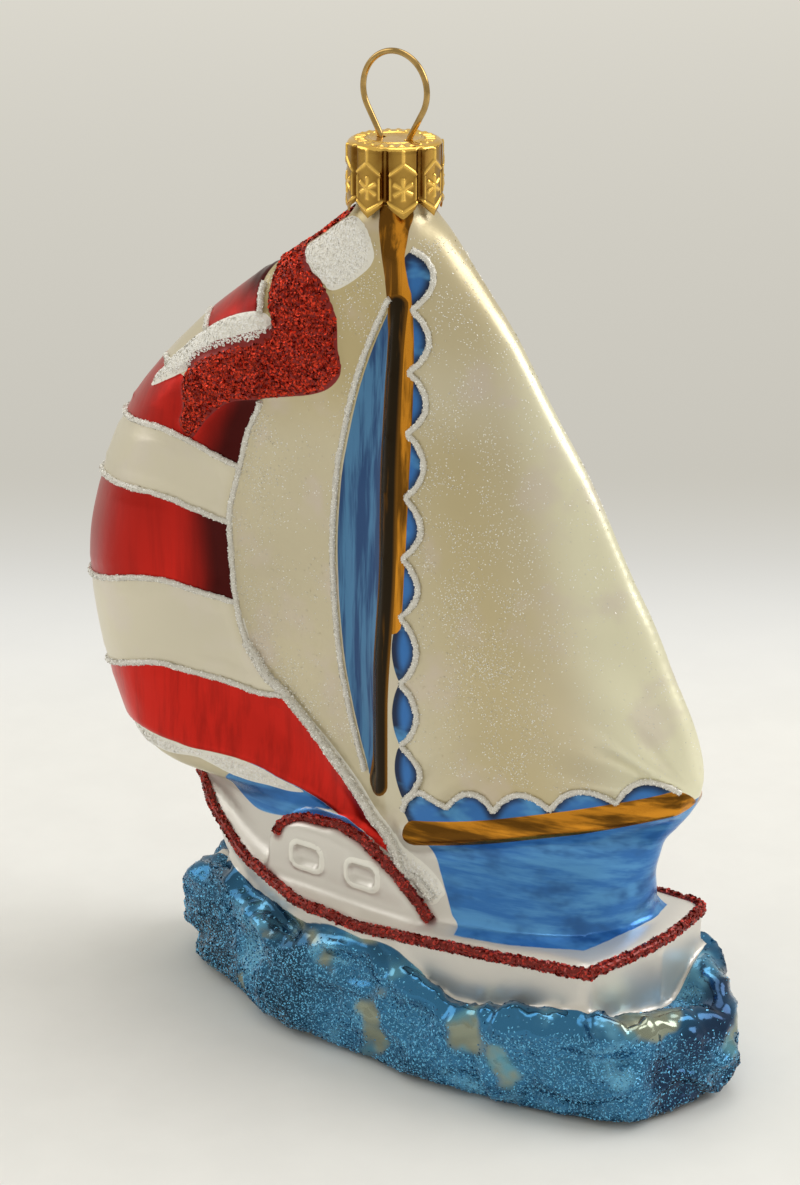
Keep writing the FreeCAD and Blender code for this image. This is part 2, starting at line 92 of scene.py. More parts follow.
BLOCK_EDGE = [(12.6, 36.0), (13.5, 33.6), (15.2, 30.5), (17.5, 27.5), (19.0, 24.9), (21.4, 23.4)]
CABIN_LINE = [(-12.6, 14.5, 31.0), (-12.0, 13.8, 32.6), (-9.2, 12.8, 33.8), (-5.4, 12.7, 34.1),
              (-2.7, 12.4, 33.9), (0.1, 12.4, 33.4), (3.2, 12.7, 32.7), (6.6, 13.4, 31.6),
              (9.5, 13.7, 30.0), (12.1, 13.9, 27.9), (14.2, 13.7, 25.9), (16.1, 13.7, 23.5)]
PORTHOLES = [(-6.6, 28.6), (4.0, 28.4)]

PENNANT_CLOTH = [(-4.2, 128.9), (-0.8, 128.3), (0.9, 124.8), (0.3, 122.4), (-3.2, 119.4),
                 (-6.4, 117.8), (-8.3, 118.9), (-11.0, 120.5), (-12.2, 121.6), (-12.4, 123.0),
                 (-8.6, 126.0)]
PENNANT_EDGE = [(-19.6, 119.4), (-16.5, 121.7), (-10.0, 126.7), (-6.6, 129.0)]
FROST = [(-47.0, 40.4), (-40.0, 42.4), (-33.1, 42.0), (-29.3, 41.6), (-25.2, 41.2), (-22.1, 40.7),
         (-18.3, 39.6), (-15.1, 38.1), (-11.0, 36.6), (-13.3, 36.2), (-16.6, 36.6), (-19.8, 37.0),
         (-22.8, 37.8), (-25.9, 39.2), (-28.4, 40.0), (-33.0, 39.6), (-38.0, 39.2), (-44.0, 38.6)]
FROST_TIP = [(7.0, 34.6), (8.8, 33.0), (10.7, 31.8), (12.8, 30.8), (15.6, 29.2), (17.2, 27.6),
             (15.8, 26.6), (13.9, 26.9), (12.4, 27.7), (10.4, 29.4), (8.0, 31.4)]
PENNANT_RIBBON = [(-14.0, 122.8), (-12.4, 121.8), (-11.0, 120.5), (-8.3, 118.7), (-6.6, 116.3),
                  (-5.5, 113.5), (-5.2, 109.0), (-4.6, 105.7), (-6.7, 102.9), (-10.4, 101.2),
                  (-14.8, 100.2), (-18.6, 99.5), (-22.0, 98.9), (-24.4, 98.0), (-26.6, 96.0),
                  (-28.0, 94.2), (-29.4, 92.2), (-30.8, 93.0), (-31.6, 94.8), (-31.1, 96.8),
                  (-31.8, 99.8), (-31.0, 103.5), (-27.0, 106.6), (-22.0, 108.8), (-18.4, 110.2),
                  (-17.0, 111.2), (-18.0, 114.6), (-18.0, 117.2), (-18.2, 119.2),
                  (-16.4, 121.2)]
PENNANT_TAIL = [(-39.9, 97.8), (-37.2, 101.4), (-33.4, 105.2), (-28.4, 109.0), (-23.2, 111.5),
                (-18.9, 112.6), (-17.1, 111.8), (-16.7, 109.9), (-19.6, 108.2), (-23.5, 106.8),
                (-27.4, 105.0), (-31.0, 102.4), (-35.2, 100.0)]

MAST_SCALLOP = 3.0
BOOM_SCALLOP = 2.8
STERN_HALF_WIDTH = 14.5
PAINT_FIELDS = ("red", "strip", "rod", "gold", "lace", "blue", "sea", "low", "chalk", "ribbon",
                "trim", "bare", "luff", "warm_and_shade", "pale", "deep", "spinnaker", "boom")


# Settings

def length_setting(name, description, default):
    return FloatProperty(name=name, description=description, default=default, unit="LENGTH")


def colour_setting(name, description, default):
    return FloatVectorProperty(name=name, description=description, default=default,
                               subtype="COLOR", size=3)


class GlassSettings(bpy.types.PropertyGroup):
    cell: length_setting("Mesh cell", "Edge of the fine mesh on the glass", 0.00066)
    polish: IntProperty(
        name="Polish", description="Rounds of smoothing, as heat softens blown glass", default=7)
    step: FloatProperty(
        name="Sail step", description="How far the spinnaker stands over the jib, in millimetres",
        default=0.8)
    swell: FloatProperty(
        name="Wave swell", description="Height of the waves' lumps, in millimetres", default=0.95)
    pearl: colour_setting("Pearl", "Satin pearl lacquer on the sails", (0.72, 0.665, 0.51))
    cream: colour_setting("Cream", "White lacquer on the hull and cabin", (0.73, 0.70, 0.65))
    red: colour_setting("Red", "Red lacquer on the spinnaker", (0.62, 0.018, 0.010))
    blue: colour_setting("Blue", "Blue lacquer under the boom", (0.03, 0.17, 0.50))
    sea: colour_setting("Sea", "Blue lacquer on the waves", (0.03, 0.13, 0.25))
    gold: colour_setting("Gold", "Gold lacquer on the mast and boom", (0.42, 0.17, 0.014))
    rod: colour_setting("Dark rod", "Brown black lacquer on the mast", (0.020, 0.012, 0.004))


class GlitterSettings(bpy.types.PropertyGroup):
    piping: length_setting("Piping radius", "Radius of the white glitter piping", 0.00046)
    red_line: length_setting("Red line radius", "Radius of the red glitter lines", 0.00082)
    grain: length_setting("Grain", "Radius of a white glitter grain", 0.00017)
    flake: length_setting("Flake", "Radius of a red glitter flake", 0.0003)
    seed: IntProperty(name="Seed", description="Where the glitter falls", default=7)
    white: colour_setting("White glitter", "Colour of the white glitter", (0.84, 0.81, 0.74))
    scarlet: colour_setting("Red glitter", "Colour of the red glitter", (0.32, 0.022, 0.013))
    azure: colour_setting("Blue glitter", "Colour of the glitter on the waves", (0.06, 0.21, 0.41))


class MetalSettings(bpy.types.PropertyGroup):
    cell: length_setting("Mesh cell", "Edge of the fine mesh on the cap", 0.00014)
    stamp: FloatProperty(
        name="Stamp depth", description="Height of the stamped pattern, in millimetres", default=0.26)
    gold: colour_setting("Cap gold", "Colour of the stamped cap", (0.90, 0.56, 0.12))
    wire: colour_setting("Wire gold", "Colour of the wire", (0.46, 0.30, 0.11))


class StageSettings(bpy.types.PropertyGroup):
    floor: colour_setting("Floor", "Colour of the paper under the ornament", (0.78, 0.78, 0.76))
    # The backdrop colour is shown by a painted glowing backdrop, not by paper.
    backdrop: colour_setting("Backdrop", "Colour of the paper behind the ornament",
                             (0.585, 0.565, 0.505))
    azimuth: FloatProperty(
        name="Azimuth", description="Where the camera stands round the boat", default=35.0)
    pitch: FloatProperty(
        name="Pitch", description="How far the camera looks down", default=21.0)


# Curves and distances

def smoothed(path, closed=False, steps=6):
    """A rounder path through the same places."""
    points = [np.array(p, float) for p in path]
    count = len(points)
    spans = count if closed else count - 1
    out = []
    for k in range(spans):
        before = points[(k - 1) % count] if closed else points[max(k - 1, 0)]
        start, end = points[k], points[(k + 1) % count]
        after = points[(k + 2) % count] if closed else points[min(k + 2, count - 1)]
        for step in range(steps):
            t = step / steps
            out.append(0.5 * (2 * start + (end - before) * t
                              + (2 * before - 5 * start + 4 * end - after) * t * t
                              + (3 * start - before - 3 * end + after) * t ** 3))
    if not closed:
        out.append(points[-1])
    return np.array(out)


def read(stations, at):
    """The value of (place, value) stations at many places."""
    table = np.array(stations, float)
    table = table[np.argsort(table[:, 0], kind="stable")]
    return np.interp(at, table[:, 0], table[:, 1])


def across(path, height):
    """The X of a path that runs up or down, at many heights."""
    return read([(p[1], p[0]) for p in path], height)


def ease(t):
    """0 below 0, 1 above 1, smooth between."""
    t = np.clip(t, 0.0, 1.0)
    return t * t * (3.0 - 2.0 * t)


def from_curve(points, path):
    """Distance from many points to a path, in as many axes as they have."""
    best = np.full(len(points), 1e18)
    for a, b in zip(path[:-1], path[1:]):
        ab = b - a
        t = np.clip((points - a) @ ab / max(float(ab @ ab), 1e-12), 0.0, 1.0)
        best = np.minimum(best, ((points - a - t[:, None] * ab) ** 2).sum(1))
    return np.sqrt(best)


def from_path(x, z, path):
    """Distance from many points to a path, in side view."""
    return from_curve(np.stack([x, z], 1), path)


def within(x, z, outline):
    """Distance to a closed outline: positive inside it, negative outside."""
    ring = np.vstack([outline, outline[:1]])
    inside = np.zeros(len(x), bool)
    for a, b in zip(ring[:-1], ring[1:]):
        crosses = (a[1] > z) != (b[1] > z)
        rise = b[1] - a[1] if abs(b[1] - a[1]) > 1e-12 else 1e-12
        inside ^= crosses & (x < (b[0] - a[0]) * (z - a[1]) / rise + a[0])
    return np.where(inside, 1.0, -1.0) * from_path(x, z, ring)


def arcs(cusps, bulge, side):
    """A scalloped path: one arc from each cusp to the next."""
    out = []
    for (ax, az), (bx, bz) in zip(cusps[:-1], cusps[1:]):
        length = math.hypot(bx - ax, bz - az)
        nx, nz = side * (bz - az) / length, -side * (bx - ax) / length
        for step in range(12):
            t = step / 12.0
            rise = bulge * math.sin(math.pi * t) ** 0.75
            out.append((ax + (bx - ax) * t + nx * rise, az + (bz - az) * t + nz * rise))
    out.append(cusps[-1])
    return np.array(out)


def clouds(points, size, seed):
    """Soft noise from -1 to 1 at many points."""
    shift = Vector((seed * 7.1, seed * 3.7, seed * 5.3))
    return np.array([noise.noise(Vector(p) / size + shift) for p in points.tolist()]) * 1.6


# Meshes

def shown(name, data):
    """A new object in the scene."""
    made = bpy.data.objects.new(name, data)
    bpy.context.scene.collection.objects.link(made)
    return made


def opened(mesh, merge=None):
    """A mesh opened for changes, with the points that lie this close merged."""
    form = bmesh.new()
    form.from_mesh(mesh)
    if merge:
        bmesh.ops.remove_doubles(form, verts=form.verts, dist=merge)
    return form


def closed(form, name):
    """The changed form, kept as a mesh."""
    mesh = bpy.data.meshes.new(name)
    form.to_mesh(mesh)
    form.free()
    return mesh


def outer_skin(node):
    """The glass node's outer skin, merged, with the neck's mouth closed."""
    form = opened(node.data, 2e-6)
    top = max(v.co.z for v in form.verts)
    lip = [f for f in form.faces if min(v.co.z for v in f.verts) > top - 2e-5]
    bmesh.ops.delete(form, geom=lip, context="FACES_ONLY")
    start = min(form.verts, key=lambda v: v.co.z)
    kept, front = {start}, [start]
    while front:
        vertex = front.pop()
        for edge in vertex.link_edges:
            if not edge.link_faces:
                continue
            other = edge.other_vert(vertex)
            if other not in kept:
                kept.add(other)
                front.append(other)
    bmesh.ops.delete(form, geom=[v for v in form.verts if v not in kept], context="VERTS")
    rim = [e for e in form.edges if e.is_boundary]
    bmesh.ops.holes_fill(form, edges=rim, sides=0)
    return closed(form, "glass_skin")


def remeshed(mesh, name, cell):
    """The same form as an even mesh of small quads."""
    blank = shown(name, mesh)
    even = blank.modifiers.new("Even", "REMESH")
    even.mode = "VOXEL"
    even.voxel_size = cell
    fine = plain_copy(blank, name)
    bpy.data.objects.remove(blank)
    return fine


def plain_copy(piece, name):
    """A piece's evaluated mesh, with its modifiers applied."""
    graph = bpy.context.evaluated_depsgraph_get()
    mesh = bpy.data.meshes.new_from_object(piece.evaluated_get(graph))
    mesh.name = name
    return mesh


def places(mesh):
    flat = np.empty(len(mesh.vertices) * 3)
    mesh.vertices.foreach_get("co", flat)
    return flat.reshape(-1, 3) / MM


def facings(mesh):
    flat = np.empty(len(mesh.vertices) * 3, np.float32)
    mesh.vertex_normals.foreach_get("vector", flat)
    return flat.reshape(-1, 3).astype(float)


def put_places(mesh, points):
    mesh.vertices.foreach_set("co", (points * MM).ravel())
    mesh.update()


def edge_ends(mesh):
    """The points at the two ends of every edge."""
    ends = np.empty(len(mesh.edges) * 2, np.int64)
    mesh.edges.foreach_get("vertices", ends)
    return ends[0::2], ends[1::2]


def neighbour_mean(points, a, b):
    """The mean of each point's neighbours, along the edges from a to b."""
    count = len(points)
    degree = np.maximum(np.bincount(a, minlength=count) + np.bincount(b, minlength=count), 1)
    total = np.stack([np.bincount(a, points[b, axis], count) + np.bincount(b, points[a, axis], count)
                      for axis in range(3)], 1)
    return total / degree[:, None]


def polished(mesh, rounds, keep=0.0):
    """Smooths a mesh; keep pushes it back out, so that it shrinks less."""
    points = places(mesh)
    a, b = edge_ends(mesh)
    for _ in range(rounds):
        for weight in (0.55, -0.5 * keep) if keep else (0.55,):
            points = points + weight * (neighbour_mean(points, a, b) - points)
    put_places(mesh, points)


def ironed(mesh, mask, rounds):
    """Draws the masked places flat between their neighbours."""
    points = places(mesh)
    a, b = edge_ends(mesh)
    near = mask[a] | mask[b]
    a, b = a[near], b[near]
    for _ in range(rounds):
        points[mask] = neighbour_mean(points, a, b)[mask]
    put_places(mesh, points)


# The blown glass

def transom(y, middle=46.4):
    """The X of the stern's bowed face, at many places across it."""
    return middle + 1.8 * y / STERN_HALF_WIDTH + 2.1 * (1.0 - (y / STERN_HALF_WIDTH) ** 2)


def off_hull(x, y, z):
    """How far points stand outside the hull in plan."""
    up = np.clip((z - 12.0) / 10.0, 0.0, 1.0)
    stern = 48.2
    bow = -28.5 + (-39.0 + 28.5) * up
    station = stern - (stern - x) * (stern + 39.0) / (stern - bow)
    beam = read(HULL_STATIONS, station) * (0.92 + 0.08 * up)
    aft = x - transom(y)
    return np.maximum(np.abs(y) - beam, aft)


def paint_places(points):
    """The painted areas at every point, as distances in millimetres: positive inside each."""
    x, y, z = points.T
    luff, foot = smoothed(LUFF), smoothed(FOOT)
    fields = {}

    sail = np.minimum(across(luff, z) - x, z - read(foot, x))
    first, second, third, fourth, fifth, sixth = (z - read(smoothed(p), x) for p in BAND_EDGES)
    bands = np.maximum.reduce([np.minimum(first, -fifth), np.minimum(third, -second), -fourth, sixth])
    flank = read(FLANK, x) + 14.0 * ease((z - 35.6) / 2.5) - np.abs(y)
    fields["red"] = np.minimum.reduce([sail, bands, flank])
    fields["spinnaker"] = sail

    rod = smoothed(ROD_LINE)
    strip = np.minimum(x - across(smoothed(STRIP_EDGE), z) - 0.9, across(rod, z) - x)
    fields["strip"] = np.minimum(strip, np.minimum(118.0 - z, z - 42.6))
    fields["rod"] = read([(40.0, 2.15), (56.0, 1.75), (118.0, 1.6)], z) - from_path(x, z, rod)
    gold = np.maximum(1.9 - from_path(x, z, smoothed(MAST_TOP_LINE)),
                      1.75 - from_path(x, z, smoothed(MAST_SIDE_LINE)))
    boom = smoothed(BOOM_LINE)
    fields["boom"] = 1.95 - from_path(x, z, boom)
    fields["gold"] = np.maximum(gold, fields["boom"])

    mast_lace = arcs(LACE_MAST, MAST_SCALLOP, -1)
    boom_lace = arcs(LACE_BOOM, BOOM_SCALLOP, -1)
    mast_ring = np.vstack([mast_lace, arcs(LACE_MAST[::-1], 1.2, -1)])
    boom_ring = np.vstack([boom_lace, boom[::-1]])
    lace = np.maximum(within(x, z, mast_ring), within(x, z, boom_ring))
    fields["lace"] = np.minimum(lace, np.where(z > 36.0, 5.0, -1.0))

    off = off_hull(x, y, z)
    margin = read([(18.0, 2.0), (30.0, 2.4), (36.0, 3.4), (41.0, 5.0)], x) - 9.0 * ease((z - 24.6) / 2.0)
    block = np.minimum.reduce([read(BOOM_LINE, x) - z, z - (read(SHEER, x) + 0.7), -off - margin,
                               x - across(BLOCK_EDGE, z)])
    shade = [(-23.4, 37.6), (-24.6, 35.0), (-24.2, 33.1), (-21.0, 31.4), (-17.4, 31.3), (-13.0, 32.3),
             (-10.0, 34.4), (-5.0, 34.8), (-8.0, 36.0), (-18.0, 40.4)]
    shade = np.minimum(within(x, z, smoothed(shade, True)), -sail)
    halves = [(p[0], p[1]) for p in CABIN_LINE]
    roof = np.minimum.reduce([np.abs(y) - read(FLANK, x), read(halves, x) - np.abs(y), 3.0 - x,
                              x + 14.0, z - 31.0, 36.5 - z])
    fields["blue"] = np.maximum.reduce([block, shade, roof])

    sea = np.minimum(off - 0.45, np.minimum(read(CREST, x) + 2.2, 25.5) - z)
    fields["sea"] = np.maximum(sea, 2.0 - z)

    fields["cloth"] = within(x, z, smoothed(PENNANT_CLOTH, True, 4))
    edge = np.minimum(0.75 - from_path(x, z, smoothed(PENNANT_EDGE)), -fields["cloth"])
    fields["ribbon"] = np.maximum(within(x, z, smoothed(PENNANT_RIBBON, True, 3)), edge)
    fields["tail"] = within(x, z, smoothed(PENNANT_TAIL, True, 3))
    sheer = np.hypot(off, z - read(SHEER, x))
    cabin = from_curve(np.stack([x, np.abs(y), z], 1), smoothed(CABIN_LINE))
    fields["trim"] = 1.0 - np.minimum(sheer, cabin)
    frames = [np.maximum(np.abs(x - px) - 1.4, 0.0) ** 2 + np.maximum(np.abs(z - pz) - 0.6, 0.0) ** 2
              for px, pz in PORTHOLES]
    fields["porthole"] = 1.75 - np.sqrt(np.minimum(frames[0], frames[1]))
    ring = np.where(np.abs(y) > 11.0, 0.42 - np.abs(fields["porthole"] - 0.1), -5.0)
    snow = 0.35 + 0.75 * ease((56.0 - z) / 18.0) - from_path(x, z, luff)
    snow = np.where((z < 64.0) & (np.abs(y) > 4.0), snow, -5.0)
    fields["frost"] = np.maximum.reduce([within(x, z, smoothed(FROST, True, 4)),
                                         within(x, z, smoothed(FROST_TIP, True, 3)), ring, snow])
    fields["chalk"] = np.maximum.reduce([fields["cloth"], fields["tail"], fields["frost"]])
    return fields


def add_shades(smooth, points, fields):
    """Adds the fields that tint the paint, add painted shade and highlights, and thin the glitter;
    smooth is the glass before relief.
    """
    x, _, z = smooth.T
    fields["low"] = np.where(x > 8.0, 36.0, 35.0) - z
    # luff: distance from the luff, made large low down; the painted shade beside the luff follows it.
    fields["luff"] = np.abs(across(smoothed(LUFF), z) - x) + 9.0 * ease((64.0 - z) / 4.0)
    # warm_and_shade: a mustard tint, partly the lacquer's own tone and stronger high up, partly painted
    # shade darkening the mainsail's middle.
    body = np.exp(-((x - 21.0 + 0.25 * (z - 70.0)) / 13.0) ** 2) * ease((108.0 - z) / 14.0)
    fields["warm_and_shade"] = np.where(x > 5.0, 0.62 * body + 0.5 * ease((z - 98.0) / 18.0),
                              0.25 + 0.5 * ease((z - 92.0) / 16.0))
    # pale: a painted highlight, lighter towards the mainsail's aft edge, where light falls on it.
    fields["pale"] = np.where(x > 5.0, ease((x - 33.0 + 0.32 * (z - 60.0)) / 9.0), 0.0)
    fields["deep"] = (0.8 * ease((x - 50.0) / 7.0)
                      + 0.9 * (clouds(points, 7.0, 21) - 0.25) * ease((x - 34.0) / 10.0))
    fields["bare"] = clouds(points, 8.0, 11) + 0.25 * clouds(points, 2.5, 13) - 0.2
    fields["bare"] += 0.3 * ease((z - read(CREST, x) + 6.0) / 5.0)


def relief(points, fields, look):
    """How far the glass stands out or in at every point, in millimetres."""
    x, y, z = points.T
    out = np.zeros(len(points))

    sail = fields["spinnaker"]
    out += look.step * ease(sail / 1.2 + 0.5) * np.exp(-np.maximum(sail, 0.0) / 9.0)
    out -= 0.45 * ease(fields["strip"] / 1.5)
    pennant = np.maximum.reduce([fields["cloth"], fields["ribbon"], fields["tail"]])
    folds = 0.24 * np.sin(0.8 * (x + 1.5 * z)) * ease(pennant / 2.0)
    high = ease((z - 90.0) / 2.0)
    out += (0.8 * ease(pennant / 0.9) + 0.5 * ease(fields["ribbon"] / 3.2) + folds) * high
    seam = np.minimum(np.abs(fields["cloth"]), np.abs(fields["tail"]))
    out -= 0.4 * np.exp(-(seam / 0.5) ** 2) * ease(fields["ribbon"] / 0.6 + 0.8) * high
    out += 0.3 * ease(fields["frost"] / 0.8)

    from_tack = np.hypot(x - 8.0, z - 36.0)
    turn = np.arctan2(z - 36.0, x - 8.0)
    tack = np.sin(9.0 * turn) * np.exp(-((from_tack - 12.0) / 7.5) ** 2) * ease((z - 39.0) / 3.0)
    from_clew = np.hypot(x - 52.0, z - 47.0)
    turn = np.arctan2(z - 47.0, 52.0 - x)
    clew = np.sin(11.0 * turn + 0.6) * np.exp(-((from_clew - 12.0) / 7.0) ** 2) * ease((z - 46.0) / 3.0)
    main = ease((x - 9.0) / 2.0)
    out += 0.7 * main * (tack + clew)
    sails = ease((z - 40.0) / 6.0) * ease((126.0 - z) / 6.0)
    out += 0.28 * sails * clouds(points * (1.0, 0.4, 0.7), 15.0, 1)

    sea = ease(fields["sea"] / 1.5 + 0.3) * ease(z / 2.5)
    lumps = clouds(points, 10.0, 2)
    bent = points + np.stack([lumps, -lumps, 0.6 * lumps], 1) * 4.0
    swirl = 0.8 - 2.4 * np.abs(clouds(bent * (0.75, 0.75, 1.25), 6.5, 3))
    fine = 0.7 - 1.8 * np.abs(clouds(bent, 2.6, 4))
    out += look.swell * sea * (0.7 * lumps + 0.8 * swirl) + 0.3 * sea * fine
    crest = read(CREST, x) - z
    out += sea * 0.8 * np.exp(-((crest - 2.0) / 1.6) ** 2) * ease((z - 9.0) / 3.0)
    aft = x - transom(y)
    post = ease((aft + 1.6) / 0.8) * ease((z - 12.0) / 2.0) * ease((23.4 - z) / 1.0)
    out += 1.2 * post * np.exp(-np.abs(y - 0.5) / 1.3) * ease(0.5 - sea)

    near = (np.abs(y) > 11.0) & (x > -12.0) & (x < 10.0)
    frame_line = np.exp(-((fields["porthole"] - 0.35) / 0.42) ** 2)
    out += np.where(near, 0.5 * frame_line - 0.35 * ease((fields["porthole"] - 0.7) / 0.4), 0.0)
    return out


def keep_field(mesh, name, values):
    layer = mesh.attributes.new(name, "FLOAT", "POINT")
    layer.data.foreach_set("value", values.astype(np.float32))


def add_piece(mesh, name, material=None):
    """A finished mesh as a piece of the ornament."""
    piece = shown(name, mesh)
    if material:
        mesh.materials.clear()
        mesh.materials.append(material)
    mesh.polygons.foreach_set("use_smooth", [True] * len(mesh.polygons))
    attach(piece, "root")
    return piece


# Materials

class NodeTree:
    """Adds nodes to a tree, and sets or links their inputs."""

    def node(self, kind, inputs=None, **values):
        made = self.tree.nodes.new(kind)
        for key, value in values.items():
            setattr(made, key, value)
        for key, value in (inputs or {}).items():
            self.feed(value, made.inputs[key])
        return made

    def feed(self, value, target):
        """Links an output to an input, or writes a plain value on it."""
        if isinstance(value, bpy.types.NodeSocket):
            self.tree.links.new(value, target)
        else:
            target.default_value = value


class Paintbox(NodeTree):
    """Builds one node material step by step."""

    def __init__(self, name):
        self.material = bpy.data.materials.new(name)
        self.material.use_nodes = True
        self.tree = self.material.node_tree
        self.shader = self.tree.nodes["Principled BSDF"]

    def surface(self, **values):
        """Sets or links the shader's own inputs."""
        for key, value in values.items():
            self.feed(value, self.shader.inputs[key.replace("_", " ")])

    def field(self, name):
        return self.node("ShaderNodeAttribute", attribute_name=name).outputs["Fac"]

    def math(self, kind, first, second):
        return self.node("ShaderNodeMath", {0: first, 1: second}, operation=kind).outputs[0]

    def range(self, value, low, high, to_low=0.0, to_high=1.0, smooth=True):
        """A value from low to high, drawn to another range."""
        inputs = {"Value": value, "From Min": low, "From Max": high, "To Min": to_low,
                  "To Max": to_high}
        kind = "SMOOTHSTEP" if smooth else "LINEAR"
        return self.node("ShaderNodeMapRange", inputs, interpolation_type=kind).outputs["Result"]

    def mix(self, share, first, second):
        """A colour between two others."""
        first, second = (value if isinstance(value, bpy.types.NodeSocket) else (*value[:3], 1.0)
                         for value in (first, second))
        return self.node("ShaderNodeMix", {0: share, 6: first, 7: second}, data_type="RGBA").outputs[2]

    def blend_number(self, share, first, second):
        return self.node("ShaderNodeMix", {0: share, 2: first, 3: second}, data_type="FLOAT").outputs[0]

    def noise(self, scale, detail=3.0, rough=0.5, stretch=(1.0, 1.0, 1.0)):
        """Noise that sits still on the piece, drawn out where stretch is small."""
        place = self.node("ShaderNodeTexCoord").outputs["Object"]
        squeeze = self.node("ShaderNodeMapping", {"Vector": place, "Scale": stretch})
        return self.node("ShaderNodeTexNoise", {
            "Vector": squeeze.outputs["Vector"], "Scale": scale, "Detail": detail,
            "Roughness": rough}).outputs["Fac"]

    def bump(self, height, strength, distance):
        made = self.node("ShaderNodeBump", {
            "Height": height, "Strength": strength, "Distance": distance})
        self.feed(made.outputs["Normal"], self.shader.inputs["Normal"])


def tone(colour, share):
    """The same colour, lighter or darker."""
    return tuple(min(1.0, c * share) for c in list(colour)[:3])


# Mustard: partly the lacquer's tint, partly painted shade.
MUSTARD_AND_SHADE = (0.50, 0.39, 0.16)
# Ivory: a painted highlight.
IVORY_HIGHLIGHT = (0.84, 0.81, 0.60)
MAUVE = (0.68, 0.58, 0.56)
STRIPE_WHITE = (0.82, 0.79, 0.70)
STRIP_NAVY = (0.010, 0.06, 0.19)
STRIP_BLUE = (0.065, 0.21, 0.41)
# Painted shade on the scallops' edges.
LACE_EDGE_SHADE = (0.004, 0.016, 0.06)
LACE_BLUE = (0.08, 0.30, 0.62)
SKY_BLUE = (0.10, 0.34, 0.70)
CHALK_WHITE = (0.90, 0.88, 0.81)
TRIM_RED = (0.20, 0.015, 0.012)
WAVE_BLUE = (0.035, 0.17, 0.34)
CREST_BLUE = (0.15, 0.42, 0.63)
FILM_OLIVE = (0.27, 0.30, 0.23)
FILM_TEAL = (0.12, 0.32, 0.42)
DEEP_NAVY = (0.014, 0.040, 0.095)
# Painted shade in the cap's grooves and painted highlight on its ridges.
GROOVE_SHADE_BROWN = (0.17, 0.07, 0.010)
RIDGE_HIGHLIGHT_GOLD = (1.0, 0.63, 0.14)
RUBY = (0.36, 0.028, 0.012)


